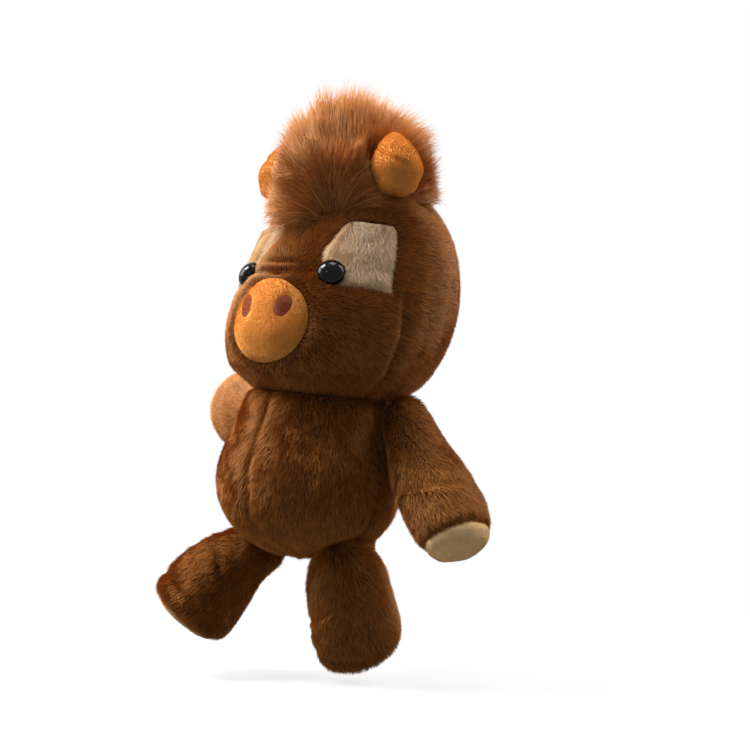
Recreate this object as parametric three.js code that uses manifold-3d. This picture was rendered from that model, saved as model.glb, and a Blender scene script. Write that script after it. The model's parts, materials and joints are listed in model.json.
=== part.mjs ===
// A stuffed toy cow hanging by its head, built the way it is sewn: fabric panels round pockets of stuffing,
// safety eyes with washers behind the fabric, and a head, arms, legs, horns and tail that turn where they are
// sewn on. Millimetres, +Z up, the face towards -Y and the toy's own left towards +X.
import * as THREE from "three";
import { mergeVertices } from "three/addons/utils/BufferGeometryUtils.js";
import Module from "manifold-3d";

const wasm = await Module();
wasm.setup();

// Fabric: how thick a panel is with its packed pile, and the clearance kept between neighbours
const SKIN = 2.5;
const CLEARANCE = 0.3;

// Torso: a pear that narrows to the shoulders
const TORSO_WIDTH = 101;
const TORSO_DEPTH = 98;
const TORSO_HEIGHT = 86;
const BELLY_HEIGHT = 40;
const SHOULDER_WIDTH = 83;
const SHOULDER_ROUND = 13;

// Neck: the ball of stuffing that the head turns on
const NECK_RADIUS = 33;
const NECK_RISE = 3;

// Head: a full egg with a broad lower face, resting on the neck with a flattened underside
const HEAD_WIDTH = 118;
const HEAD_DEPTH = 104;
const HEAD_HEIGHT = 130;
const HEAD_FULLNESS = 2.15;
const HEAD_SET_BACK = 18;
const HEAD_RISE = 58;
const SEAT_RISE = 2;
const SEAT_SOFTNESS = 6;
const MUZZLE_REACH = 20;
const MUZZLE_LIFT = -20;
const MUZZLE_SPREAD = 29;
const CHIN_SWELL = 9;
const CHIN_LIFT = -52;
const CHIN_SPREAD = 32;
const CHEEK_SWELL = 13;
const CHEEK_TURN = 44;
const CHEEK_LIFT = -38;
const CHEEK_SPREAD = 30;
const FACE_SEAM_DEPTH = 26;

// Face: patches round the eyes, the muzzle patch and its nostrils
const PATCH_GAP_LOW = 50;
const PATCH_GAP_HIGH = 26;
const PATCH_BOTTOM = -6;
const PATCH_TOP = 31;
const PATCH_CORNER = 9;
const CHEEK_SEAM = 0;
const MUZZLE_WIDTH = 52;
const MUZZLE_HEIGHT = 46;
const NOSTRIL_WIDTH = 10;
const NOSTRIL_HEIGHT = 14;
const NOSTRIL_SPACING = 25;
const NOSTRIL_RISE = 7;
const NOSTRIL_LEAN = 18;
const NOSTRIL_RECESS = 0.8;

// Safety eyes: a dome with a ribbed post, and the washer that locks it behind the fabric
const EYE_DIAMETER = 15;
const EYE_DOME = 6;
const EYE_TURN = 28;
const EYE_LIFT = 0;
const EYE_SINK = 1.2;
const POST_DIAMETER = 4.6;
const POST_LENGTH = 13;
const WASHER_DIAMETER = 13;
const WASHER_THICKNESS = 1.6;

// Horns
const HORN_ROOT = 11.5;
const HORN_RADIUS = 14.5;
const HORN_LENGTH = 27;
const HORN_TIP = 6;
const HORN_SINK = 1;
const HORN_TURN = 60;
const HORN_LIFT = 50;
const HORN_LEAN = -6;
const HORN_FLOP_ROOM = 6;

// Hair: a thick tuft on the crown, from the forehead to the back of the head
const HAIR_HEIGHT = 44;
const HAIR_REACH_SIDE = 40;
const HAIR_REACH_FRONT = 50;
const HAIR_TILT = 12;
const HAIR_CROWDING = 1.7;
const HAIR_ROOT = 12;

// Arms
const ARM_ROOT = 12;
const ARM_LENGTH = 80;
const ARM_RADIUS = 24.5;
const ARM_THICKEST = 56;
const ARM_SINK = 3;
const ARM_FLARE = 1.25;
const ARM_INNER_FLAT = 0.45;
const ARM_AZIMUTH = 108;
const ARM_HEIGHT = 74;
const PAW_TILT = 10;

// Legs
const LEG_ROOT = 15;
const LEG_LENGTH = 54;
const LEG_RADIUS = 25;
const LEG_THICKEST = 40;
const LEG_SINK = 7;
const LEG_FLARE = 1;
const LEG_INNER_FLAT = 0.86;
const HIP_SPACING = 56;
const SOLE_TILT = 13;

// Paw pads and soles
const PAD_THICKNESS = 3;
const PAD_INSET = 1;
const PAD_ROUND = 10;

// Tail
const TAIL_ROOT = 6.5;
const TAIL_RADIUS = 5;
const TAIL_LENGTH = 32;
const TAIL_SINK = 2.5;
const TAIL_HEIGHT = 24;
const TUFT_RADIUS = 10;
const TUFT_LENGTH = 26;

// Shares of the neighbouring sizes that shape the curves between them
const UNDERSIDE_ROUND = 0.62;
const BELLY_ROUND = 0.42;
const FLANK_ROUND = 0.45;
const SHOULDER_EASE = 0.3;
const DOME_ROUND = 0.6;
const HORN_WIDEST = 0.3;
const HORN_ROUND = 0.62;
const HORN_EASE = 0.1;
const HORN_OPENING = 0.6;
const PAD_EDGE_ROUND = 0.75;
const PAD_SIDE_ROUND = 1.2;
const LIMB_EASE = 0.6;
const ROOT_EASE = 0.3;

// Pose in which the toy hangs, in degrees: the head back and to its left, each limb swung forward and out
const LEAN_BACK = 5;
const LEAN_SIDE = 5;
const HEAD_PITCH = 3;
const HEAD_ROLL = -3;
const HEAD_YAW = 2;
const LEFT_ARM_FORWARD = 6;
const LEFT_ARM_OUT = 39;
const RIGHT_ARM_FORWARD = -92;
const RIGHT_ARM_OUT = 56;
const LEFT_LEG_FORWARD = -30;
const LEFT_LEG_OUT = -5;
const RIGHT_LEG_FORWARD = 35;
const RIGHT_LEG_OUT = 28;
const TAIL_LIFT = 10;

// Facets of each form
const TORSO_SIDES = 16;
const NECK_SIDES = 18;
const HEAD_SIDES = 22;
const HEAD_ROWS = 14;
const LIMB_SIDES = 10;
const HORN_SIDES = 9;
const EYE_SIDES = 12;
const SOCKET_SIDES = 12;
const HAIR_SIDES = 18;
const HAIR_ROWS = 13;
const CURVE_STEPS = 3;
const TORSO_STEPS = 4;
const OUTLINE_STEPS = 9;

const UP = new THREE.Vector3(0, 0, 1);
const FAR = 500;
const LEFT = 1;
const RIGHT = -1;
const radians = THREE.MathUtils.degToRad;

// Colours of the finishes
const FINISHES = {
  brown: new THREE.MeshStandardMaterial({ color: 0x6b3d1c, roughness: 0.95 }),
  cream: new THREE.MeshStandardMaterial({ color: 0xcfae85, roughness: 0.95 }),
  orange: new THREE.MeshStandardMaterial({ color: 0xc9853f, roughness: 0.9 }),
  red: new THREE.MeshStandardMaterial({ color: 0x6f3420, roughness: 0.9 }),
  hair: new THREE.MeshStandardMaterial({ color: 0x9a5f30, roughness: 0.9 }),
  eye: new THREE.MeshStandardMaterial({ color: 0x0c0b0b, roughness: 0.08 }),
  washer: new THREE.MeshStandardMaterial({ color: 0xe6e4dd, roughness: 0.5 }),
  stuffing: new THREE.MeshStandardMaterial({ color: 0xf1efe9, roughness: 1 }),
};

// Closed solid from a three.js geometry, with its shared vertices merged.
function solidOf(geometry) {
  const merged = bareMerged(geometry);
  return new wasm.Manifold(new wasm.Mesh({
    numProp: 3,
    vertProperties: merged.attributes.position.array,
    triVerts: new Uint32Array(merged.index.array),
  }));
}

function bareMerged(geometry) {
  const bare = geometry.clone();
  bare.deleteAttribute("normal");
  bare.deleteAttribute("uv");
  return mergeVertices(bare, 1e-3);
}

function geometryOf(solid) {
  const mesh = solid.getMesh();
  const geometry = new THREE.BufferGeometry();
  geometry.setAttribute("position", new THREE.BufferAttribute(mesh.vertProperties, mesh.numProp));
  geometry.setIndex(new THREE.BufferAttribute(mesh.triVerts, 1));
  return geometry;
}

// Copy of a form with every vertex moved inwards along its normal; a negative depth moves it outwards.
function insetForm(form, depth) {
  const inset = bareMerged(form);
  inset.computeVertexNormals();
  const place = inset.attributes.position;
  const normal = inset.attributes.normal;
  for (let i = 0; i < place.count; i += 1) {
    place.setXYZ(
      i,
      place.getX(i) - depth * normal.getX(i),
      place.getY(i) - depth * normal.getY(i),
      place.getZ(i) - depth * normal.getZ(i),
    );
  }
  return inset;
}

// Block that fills everything on the side of a plane that its normal points to.
function blockBeyond(point, normal) {
  const block = new THREE.BoxGeometry(FAR, FAR, FAR);
  block.translate(0, 0, FAR / 2);
  block.applyQuaternion(new THREE.Quaternion().setFromUnitVectors(UP, normal));
  block.translate(point.x, point.y, point.z);
  return solidOf(block);
}

const rowsFor = (sides) => Math.round(sides * 0.6);

function ball(radius, centre, sides) {
  const sphere = new THREE.SphereGeometry(radius, sides, rowsFor(sides));
  sphere.translate(centre.x, centre.y, centre.z);
  return solidOf(sphere);
}

// Socket for a round root: its flat facets stay clear of the root wherever the root turns.
function socket(radius, centre, sides = SOCKET_SIDES) {
  const reach = (radius + CLEARANCE) / Math.cos(Math.PI / sides) / Math.cos(Math.PI / rowsFor(sides) / 2);
  return ball(reach, centre, sides);
}

// Form turned from a profile of (radius, height) points, about the Z axis.
function turned(points, sides) {
  const form = new THREE.LatheGeometry(points, sides);
  form.rotateX(Math.PI / 2);
  return form;
}

// Straight prism of a flat outline, laid along a seat's normal from behind the surface to in front of it.
function prismAt(outline, seat, behind, ahead) {
  const prism = new THREE.ExtrudeGeometry(outline, {
    depth: behind + ahead,
    bevelEnabled: false,
    curveSegments: OUTLINE_STEPS,
  });
  prism.translate(0, 0, -behind);
  prism.applyQuaternion(seat.turn);
  prism.translate(seat.point.x, seat.point.y, seat.point.z);
  return solidOf(prism);
}

function ellipse(width, height, lean = 0) {
  const outline = new THREE.Shape();
  outline.absellipse(0, 0, width / 2, height / 2, 0, 2 * Math.PI, false, lean);
  return outline;
}

// Outline of an eye patch seen from the front: its inner edge slants, and it runs out past the side seam.
function patchOutline(side, grow) {
  const low = PATCH_GAP_LOW / 2 - grow;
  const high = PATCH_GAP_HIGH / 2 - grow;
  const bottom = PATCH_BOTTOM - grow;
  const top = PATCH_TOP + grow;
  const outline = new THREE.Shape();
  outline.moveTo(side * HEAD_WIDTH, bottom);
  outline.lineTo(side * HEAD_WIDTH, top);
  outline.lineTo(side * (high + PATCH_CORNER), top);
  outline.quadraticCurveTo(side * high, top, side * high, top - PATCH_CORNER);
  outline.lineTo(side * low, bottom + PATCH_CORNER);
  outline.quadraticCurveTo(side * low, bottom, side * (low + PATCH_CORNER), bottom);
  return outline;
}

function piece(name, solid, finish) {
  const mesh = new THREE.Mesh(geometryOf(solid), FINISHES[finish]);
  mesh.name = name;
  return mesh;
}

// Torso

// Profile of the torso from its underside to the rim of the neck.
function torsoProfile() {
  const belly = TORSO_WIDTH / 2;
  const shoulder = SHOULDER_WIDTH / 2;
  const edge = TORSO_HEIGHT - SHOULDER_ROUND;
  const rise = edge - BELLY_HEIGHT;
  const profile = new THREE.Path();
  profile.moveTo(0, 0);
  profile.bezierCurveTo(belly * UNDERSIDE_ROUND, 0, belly, BELLY_HEIGHT * BELLY_ROUND, belly, BELLY_HEIGHT);
  profile.bezierCurveTo(
    belly,
    BELLY_HEIGHT + rise * FLANK_ROUND,
    shoulder,
    edge - rise * SHOULDER_EASE,
    shoulder,
    edge,
  );
  profile.quadraticCurveTo(shoulder, TORSO_HEIGHT, NECK_RADIUS, TORSO_HEIGHT);
  profile.lineTo(0, TORSO_HEIGHT);
  return profile.getPoints(TORSO_STEPS);
}

function torsoForm() {
  const form = turned(torsoProfile(), TORSO_SIDES);
  form.scale(1, TORSO_DEPTH / TORSO_WIDTH, 1);
  return form;
}

// Place on the torso's surface where the profile passes a chosen height or radius, with its outward normal.
function torsoSeat(azimuth, axis, value) {
  const profile = torsoProfile();
  const next = profile.findIndex((point) => point[axis] >= value);
  const low = profile[next - 1];
  const high = profile[next];
  const place = low.clone().lerp(high, (value - low[axis]) / (high[axis] - low[axis]));
  const slope = high.clone().sub(low).normalize();
  const heading = new THREE.Vector3(Math.sin(azimuth), -Math.cos(azimuth), 0);
  const point = heading.clone().multiplyScalar(place.x);
  point.z = place.y;
  point.y *= TORSO_DEPTH / TORSO_WIDTH;
  const normal = heading.multiplyScalar(slope.y);
  normal.z = -slope.x;
  return { point, normal: normal.normalize() };
}

// Centre of a limb's round root, sunk into the torso by the given depth.
function rootCentre(seat, radius, sink) {
  return seat.point.clone().addScaledVector(seat.normal, radius - sink);
}

const neckCentre = new THREE.Vector3(0, 0, TORSO_HEIGHT + NECK_RISE);

function hipCentre(side) {
  const seat = torsoSeat(side * radians(90), "x", HIP_SPACING / 2);
  return rootCentre(seat, LEG_ROOT, LEG_SINK);
}

function shoulderCentre(side) {
  const seat = torsoSeat(side * radians(ARM_AZIMUTH), "y", ARM_HEIGHT);
  return rootCentre(seat, ARM_ROOT, ARM_SINK);
}

function tailCentre() {
  const seat = torsoSeat(radians(180), "y", TAIL_HEIGHT);
  return rootCentre(seat, TAIL_ROOT, TAIL_SINK);
}

function makeTorso() {
  const torso = new THREE.Group();
  const form = torsoForm();
  const sockets = [
    socket(NECK_RADIUS, neckCentre, TORSO_SIDES),
    socket(TAIL_ROOT, tailCentre()),
  ];
  for (const side of [LEFT, RIGHT]) {
    sockets.push(socket(LEG_ROOT, hipCentre(side)));
    sockets.push(socket(ARM_ROOT, shoulderCentre(side)));
  }
  const cut = (solid) => sockets.reduce((rest, room) => rest.subtract(room), solid);
  const shell = cut(solidOf(form).subtract(solidOf(insetForm(form, SKIN))));
  const half = CLEARANCE / 2;
  for (const [across, left] of [["left", 1], ["right", -1]]) {
    for (const [along, front] of [["front", -1], ["back", 1]]) {
      const sideHalf = blockBeyond(new THREE.Vector3(left * half, 0, 0), new THREE.Vector3(left, 0, 0));
      const alongHalf = blockBeyond(new THREE.Vector3(0, front * half, 0), new THREE.Vector3(0, front, 0));
      const panel = shell.intersect(sideHalf).intersect(alongHalf);
      torso.add(piece(`torso_${along}_${across}`, panel, "brown"));
    }
  }
  const stuffing = cut(solidOf(insetForm(form, SKIN + CLEARANCE)));
  torso.add(piece("torso_stuffing", stuffing, "stuffing"));
  return torso;
}

function makeNeck() {
  const neck = new THREE.Group();
  neck.position.copy(neckCentre);
  neck.add(piece("neck_ball", ball(NECK_RADIUS, new THREE.Vector3(), NECK_SIDES), "brown"));
  return neck;
}

// Head

const headPose = new THREE.Quaternion().setFromEuler(
  new THREE.Euler(radians(-HEAD_PITCH), radians(HEAD_ROLL), radians(HEAD_YAW), "ZYX"),
);
const headCentre = new THREE.Vector3(0, HEAD_SET_BACK, HEAD_RISE);
const seatUp = UP.clone().applyQuaternion(headPose.clone().invert());

// Direction from the head's centre: turned towards the toy's left from straight ahead, and lifted.
function facing(turn, lift) {
  const flat = Math.cos(radians(lift));
  return new THREE.Vector3(
    Math.sin(radians(turn)) * flat,
    -Math.cos(radians(turn)) * flat,
    Math.sin(radians(lift)),
  );
}

function swell(direction, centre, spread) {
  const angle = direction.angleTo(centre) / radians(spread);
  return Math.exp(-angle * angle);
}

function headRadius(direction) {
  const p = HEAD_FULLNESS;
  const egg = (
    Math.abs(direction.x / (HEAD_WIDTH / 2)) ** p
    + Math.abs(direction.y / (HEAD_DEPTH / 2)) ** p
    + Math.abs(direction.z / (HEAD_HEIGHT / 2)) ** p
  ) ** (-1 / p);
  const muzzle = MUZZLE_REACH * swell(direction, facing(0, MUZZLE_LIFT), MUZZLE_SPREAD);
  const leftCheek = CHEEK_SWELL * swell(direction, facing(CHEEK_TURN, CHEEK_LIFT), CHEEK_SPREAD);
  const rightCheek = CHEEK_SWELL * swell(direction, facing(-CHEEK_TURN, CHEEK_LIFT), CHEEK_SPREAD);
  const chin = CHIN_SWELL * swell(direction, facing(0, CHIN_LIFT), CHIN_SPREAD);
  return egg + muzzle + leftCheek + rightCheek + chin;
}

// Point of the head's surface, with the underside eased flat above the neck.
function headPoint(direction, extra = 0) {
  const point = headCentre.clone().addScaledVector(direction, headRadius(direction) + extra);
  const height = point.dot(seatUp);
  const limit = SEAT_RISE + SEAT_SOFTNESS;
  if (height < limit) {
    const eased = SEAT_RISE + SEAT_SOFTNESS * Math.exp((height - limit) / SEAT_SOFTNESS);
    point.addScaledVector(seatUp, eased - height);
  }
  return point;
}

function headForm() {
  const form = new THREE.SphereGeometry(1, HEAD_SIDES, HEAD_ROWS);
  form.rotateX(Math.PI / 2);
  const place = form.attributes.position;
  const direction = new THREE.Vector3();
  for (let i = 0; i < place.count; i += 1) {
    direction.fromBufferAttribute(place, i).normalize();
    const point = headPoint(direction);
    place.setXYZ(i, point.x, point.y, point.z);
  }
  return form;
}

// Place on the head's surface with the turn that stands a piece up on it.
function headSeat(turn, lift) {
  const step = 2;
  const point = headPoint(facing(turn, lift));
  const across = headPoint(facing(turn + step, lift)).sub(headPoint(facing(turn - step, lift)));
  const upward = headPoint(facing(turn, lift + step)).sub(headPoint(facing(turn, lift - step)));
  const normal = across.clone().cross(upward).normalize();
  const right = UP.clone().cross(normal).normalize();
  const basis = new THREE.Matrix4().makeBasis(right, normal.clone().cross(right), normal);
  return { point, normal, turn: new THREE.Quaternion().setFromRotationMatrix(basis) };
}

function hornCentre(side) {
  return rootCentre(headSeat(side * HORN_TURN, HORN_LIFT), HORN_ROOT, HORN_SINK);
}

// Eye: the dome and post turned as one, standing on the plane where the fabric is pulled flat behind it.
function eyeProfile(grow) {
  const dome = EYE_DIAMETER / 2 + grow;
  const post = POST_DIAMETER / 2 + grow;
  const profile = new THREE.Path();
  profile.moveTo(0, -POST_LENGTH - grow);
  profile.lineTo(post, -POST_LENGTH - grow);
  profile.lineTo(post, -grow);
  profile.lineTo(dome, -grow);
  const crown = EYE_DOME + grow;
  profile.bezierCurveTo(dome, EYE_DOME * DOME_ROUND, dome * DOME_ROUND, crown, 0, crown);
  return profile.getPoints(CURVE_STEPS);
}

function washerProfile() {
  const outer = WASHER_DIAMETER / 2;
  const inner = POST_DIAMETER / 2 + CLEARANCE;
  const front = -SKIN - EYE_SINK - CLEARANCE;
  const back = front - WASHER_THICKNESS;
  return [
    new THREE.Vector2(inner, back),
    new THREE.Vector2(outer, back),
    new THREE.Vector2(outer, front),
    new THREE.Vector2(inner, front),
    new THREE.Vector2(inner, back),
  ];
}

// Room for the washer in the stuffing, open towards the fabric.
function washerRoomProfile() {
  const outer = WASHER_DIAMETER / 2 + CLEARANCE;
  const back = -SKIN - EYE_SINK - WASHER_THICKNESS - 2 * CLEARANCE;
  return [
    new THREE.Vector2(0, back),
    new THREE.Vector2(outer, back),
    new THREE.Vector2(outer, 0),
    new THREE.Vector2(0, 0),
  ];
}

// Part turned from a profile and set behind the surface at a seat, by the depth that the eye sinks in.
function eyePart(profile, seat) {
  const form = turned(profile, EYE_SIDES);
  form.translate(0, 0, -EYE_SINK);
  form.applyQuaternion(seat.turn);
  form.translate(seat.point.x, seat.point.y, seat.point.z);
  return solidOf(form);
}

function makeHead() {
  const head = new THREE.Group();
  head.position.copy(neckCentre);
  head.quaternion.copy(headPose);
  const form = headForm();
  const origin = new THREE.Vector3();
  const neckSocket = socket(NECK_RADIUS, origin, TORSO_SIDES);
  const reach = HEAD_DEPTH / 4;

  let holes = neckSocket;
  let pockets = neckSocket;
  for (const [name, side] of [["left", LEFT], ["right", RIGHT]]) {
    const seat = headSeat(side * EYE_TURN, EYE_LIFT);
    head.add(piece(`eye_${name}`, eyePart(eyeProfile(0), seat), "eye"));
    head.add(piece(`eye_washer_${name}`, eyePart(washerProfile(), seat), "washer"));
    const eyeRoom = eyePart(eyeProfile(CLEARANCE), seat);
    const washerRoom = eyePart(washerRoomProfile(), seat);
    const hornRoom = socket(HORN_ROOT, hornCentre(side));
    holes = holes.add(eyeRoom).add(hornRoom);
    pockets = pockets.add(eyeRoom).add(washerRoom).add(hornRoom);
  }
  const shell = solidOf(form).subtract(solidOf(insetForm(form, SKIN))).subtract(holes);
  head.add(piece("head_stuffing", solidOf(insetForm(form, SKIN + CLEARANCE)).subtract(pockets), "stuffing"));

  const half = CLEARANCE / 2;
  const seamFront = new THREE.Vector3(0, HEAD_SET_BACK - FACE_SEAM_DEPTH - half, 0);
  const seamBack = new THREE.Vector3(0, HEAD_SET_BACK - FACE_SEAM_DEPTH + half, 0);
  const face = shell.intersect(blockBeyond(seamFront, new THREE.Vector3(0, -1, 0)));
  const back = shell.intersect(blockBeyond(seamBack, new THREE.Vector3(0, 1, 0)));

  const muzzleSeat = headSeat(0, MUZZLE_LIFT);
  const muzzle = (grow) => prismAt(ellipse(MUZZLE_WIDTH + grow, MUZZLE_HEIGHT + grow), muzzleSeat, reach, reach);
  const front = {
    point: headCentre,
    turn: new THREE.Quaternion().setFromAxisAngle(new THREE.Vector3(1, 0, 0), Math.PI / 2),
  };
  const patch = (side, grow) => prismAt(patchOutline(side, grow), front, 0, HEAD_DEPTH);
  const patchRoom = patch(LEFT, CLEARANCE).add(patch(RIGHT, CLEARANCE));
  const fur = face.subtract(muzzle(2 * CLEARANCE)).subtract(patchRoom);
  const seamLevel = HEAD_RISE + CHEEK_SEAM;
  const below = blockBeyond(new THREE.Vector3(0, 0, seamLevel - half), new THREE.Vector3(0, 0, -1));
  const above = blockBeyond(new THREE.Vector3(0, 0, seamLevel + half), new THREE.Vector3(0, 0, 1));
  head.add(piece("forehead_panel", fur.intersect(above), "brown"));

  const nostrilSeat = (side) => {
    const seat = headSeat(0, MUZZLE_LIFT);
    const shift = new THREE.Vector3(side * NOSTRIL_SPACING / 2, NOSTRIL_RISE, 0).applyQuaternion(seat.turn);
    seat.point.add(shift);
    return seat;
  };
  const nostril = (side, grow) => prismAt(
    ellipse(NOSTRIL_WIDTH + grow, NOSTRIL_HEIGHT + grow, side * radians(-NOSTRIL_LEAN)),
    nostrilSeat(side),
    reach,
    reach,
  );
  const nostrilRoom = nostril(LEFT, 2 * CLEARANCE).add(nostril(RIGHT, 2 * CLEARANCE));
  head.add(piece("muzzle_patch", face.intersect(muzzle(0)).subtract(nostrilRoom), "orange"));
  const recessed = solidOf(insetForm(form, NOSTRIL_RECESS)).subtract(solidOf(insetForm(form, SKIN)));

  const hairRoom = [];
  for (const [name, side] of [["left", LEFT], ["right", RIGHT]]) {
    const sideways = new THREE.Vector3(side, 0, 0);
    const sideHalf = blockBeyond(new THREE.Vector3(side * half, 0, 0), sideways);
    head.add(piece(`cheek_${name}`, fur.intersect(below).intersect(sideHalf), "brown"));
    head.add(piece(`head_side_${name}`, back.intersect(sideHalf), "brown"));
    head.add(piece(`eye_patch_${name}`, face.intersect(patch(side, 0)), "cream"));
    head.add(piece(`nostril_${name}`, recessed.intersect(nostril(side, 0)), "red"));
    hairRoom.push(hornSweep(side));
  }
  head.add(piece("hair_tuft", makeHair(form, hairRoom), "hair"));
  return head;
}

// Hair: a cap that rises from the head's surface and is highest on the crown, with its rows crowded there.
function makeHair(form, hairRoom) {
  const cap = new THREE.SphereGeometry(1, HAIR_SIDES, HAIR_ROWS);
  cap.rotateX(Math.PI / 2);
  const tilt = new THREE.Quaternion().setFromAxisAngle(new THREE.Vector3(1, 0, 0), radians(HAIR_TILT));
  const place = cap.attributes.position;
  const local = new THREE.Vector3();
  for (let i = 0; i < place.count; i += 1) {
    local.fromBufferAttribute(place, i);
    const polar = Math.PI * (Math.acos(THREE.MathUtils.clamp(local.z, -1, 1)) / Math.PI) ** HAIR_CROWDING;
    local.setFromSphericalCoords(1, polar, Math.atan2(local.x, local.y));
    local.set(local.x, local.z, local.y);
    const side = Math.atan2(local.x, local.z) / radians(HAIR_REACH_SIDE);
    const along = Math.atan2(local.y, local.z) / radians(HAIR_REACH_FRONT);
    const fall = side * side + along * along;
    const extra = fall < 1 ? HAIR_HEIGHT * Math.sqrt(1 - fall) : -HAIR_ROOT;
    const point = headPoint(local.applyQuaternion(tilt), extra);
    place.setXYZ(i, point.x, point.y, point.z);
  }
  const clear = solidOf(insetForm(form, -CLEARANCE));
  return hairRoom.reduce((rest, room) => rest.subtract(room), solidOf(cap).subtract(clear));
}

// Horns

function hornProfile(grow) {
  const profile = new THREE.Path();
  const tip = -HORN_LENGTH - grow;
  const wide = HORN_RADIUS + grow;
  profile.moveTo(0, tip);
  profile.bezierCurveTo(HORN_TIP + grow, tip, wide, tip * HORN_ROUND, wide, tip * HORN_WIDEST);
  profile.quadraticCurveTo(wide, tip * HORN_EASE, HORN_ROOT + grow, 0);
  profile.absarc(0, 0, HORN_ROOT + grow, 0, Math.PI / 2, false);
  return profile.getPoints(CURVE_STEPS);
}

// Turn that stands a horn up from its root, leaning outwards.
function hornPose(side) {
  return new THREE.Quaternion().setFromEuler(new THREE.Euler(Math.PI, side * radians(-HORN_LEAN), 0));
}

// Room that a horn needs in the hair, wide enough for it to flop.
function hornSweep(side) {
  const room = turned(hornProfile(HORN_FLOP_ROOM), HORN_SIDES);
  room.applyQuaternion(hornPose(side));
  const centre = hornCentre(side);
  room.translate(centre.x, centre.y, centre.z);
  return solidOf(room);
}

function makeHorn(name, side) {
  const horn = new THREE.Group();
  horn.position.copy(hornCentre(side));
  horn.quaternion.copy(hornPose(side));
  const form = turned(hornProfile(0), HORN_SIDES);
  const opening = blockBeyond(new THREE.Vector3(0, 0, HORN_ROOT * HORN_OPENING), UP);
  const skin = solidOf(form).subtract(solidOf(insetForm(form, SKIN))).subtract(opening);
  horn.add(piece(`horn_${name}`, skin, "orange"));
  const stuffing = solidOf(insetForm(form, SKIN + CLEARANCE)).subtract(opening);
  horn.add(piece(`horn_stuffing_${name}`, stuffing, "stuffing"));
  return horn;
}

// Arms and legs

// Form of a limb hanging from its round root: it swells to its thickest ring and rounds off past its pad.
function limbForm(sizes) {
  const { root, radius, thickest, length, flare, innerFlat, side } = sizes;
  const end = -length - PAD_ROUND;
  const profile = new THREE.Path();
  profile.moveTo(0, end);
  const corner = end + PAD_ROUND * PAD_SIDE_ROUND;
  profile.bezierCurveTo(radius * PAD_EDGE_ROUND, end, radius, corner, radius, -thickest);
  profile.bezierCurveTo(radius, -thickest * LIMB_EASE, root * flare, -thickest * ROOT_EASE, root, 0);
  profile.absarc(0, 0, root, 0, Math.PI / 2, false);
  const form = turned(profile.getPoints(CURVE_STEPS), LIMB_SIDES);
  const place = form.attributes.position;
  for (let i = 0; i < place.count; i += 1) {
    const x = place.getX(i);
    if (x * side < 0) {
      const share = THREE.MathUtils.smoothstep(-place.getZ(i), 0, thickest / 2);
      place.setX(i, x * THREE.MathUtils.lerp(1, innerFlat, share));
    }
  }
  return form;
}

function makeLimb(sizes) {
  const { length, tilt, skinName, padName, stuffingName } = sizes;
  const form = limbForm(sizes);
  const down = new THREE.Vector3(0, Math.sin(radians(tilt)), -Math.cos(radians(tilt)));
  const above = (depth) => {
    const point = new THREE.Vector3(0, 0, -length).addScaledVector(down, -depth);
    return blockBeyond(point, down.clone().negate());
  };
  const below = (depth) => {
    const point = new THREE.Vector3(0, 0, -length).addScaledVector(down, -depth);
    return blockBeyond(point, down);
  };
  const limb = new THREE.Group();
  const shell = solidOf(form).subtract(solidOf(insetForm(form, SKIN)));
  limb.add(piece(skinName, shell.intersect(above(PAD_THICKNESS + CLEARANCE)), "brown"));
  const pad = solidOf(insetForm(form, PAD_INSET)).intersect(above(0)).intersect(below(PAD_THICKNESS));
  limb.add(piece(padName, pad, "cream"));
  const stuffing = solidOf(insetForm(form, SKIN + CLEARANCE)).intersect(above(PAD_THICKNESS + CLEARANCE));
  limb.add(piece(stuffingName, stuffing, "stuffing"));
  return limb;
}

// Turn of a limb that is swung forward about the X axis and then stands out to its own side.
function limbPose(forward, out, side) {
  const outward = new THREE.Quaternion().setFromAxisAngle(new THREE.Vector3(0, 1, 0), -side * radians(out));
  const swing = new THREE.Quaternion().setFromAxisAngle(new THREE.Vector3(1, 0, 0), -radians(forward));
  return swing.multiply(outward);
}

function makeArm(name, side, pose) {
  const arm = makeLimb({
    root: ARM_ROOT,
    radius: ARM_RADIUS,
    thickest: ARM_THICKEST,
    length: ARM_LENGTH,
    flare: ARM_FLARE,
    innerFlat: ARM_INNER_FLAT,
    tilt: PAW_TILT,
    side,
    skinName: `arm_skin_${name}`,
    padName: `paw_pad_${name}`,
    stuffingName: `arm_stuffing_${name}`,
  });
  arm.position.copy(shoulderCentre(side));
  arm.quaternion.copy(pose);
  return arm;
}

function makeLeg(name, side, pose) {
  const leg = makeLimb({
    root: LEG_ROOT,
    radius: LEG_RADIUS,
    thickest: LEG_THICKEST,
    length: LEG_LENGTH,
    flare: LEG_FLARE,
    innerFlat: LEG_INNER_FLAT,
    tilt: SOLE_TILT,
    side,
    skinName: `leg_skin_${name}`,
    padName: `foot_pad_${name}`,
    stuffingName: `leg_stuffing_${name}`,
  });
  leg.position.copy(hipCentre(side));
  leg.quaternion.copy(pose);
  return leg;
}

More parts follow.
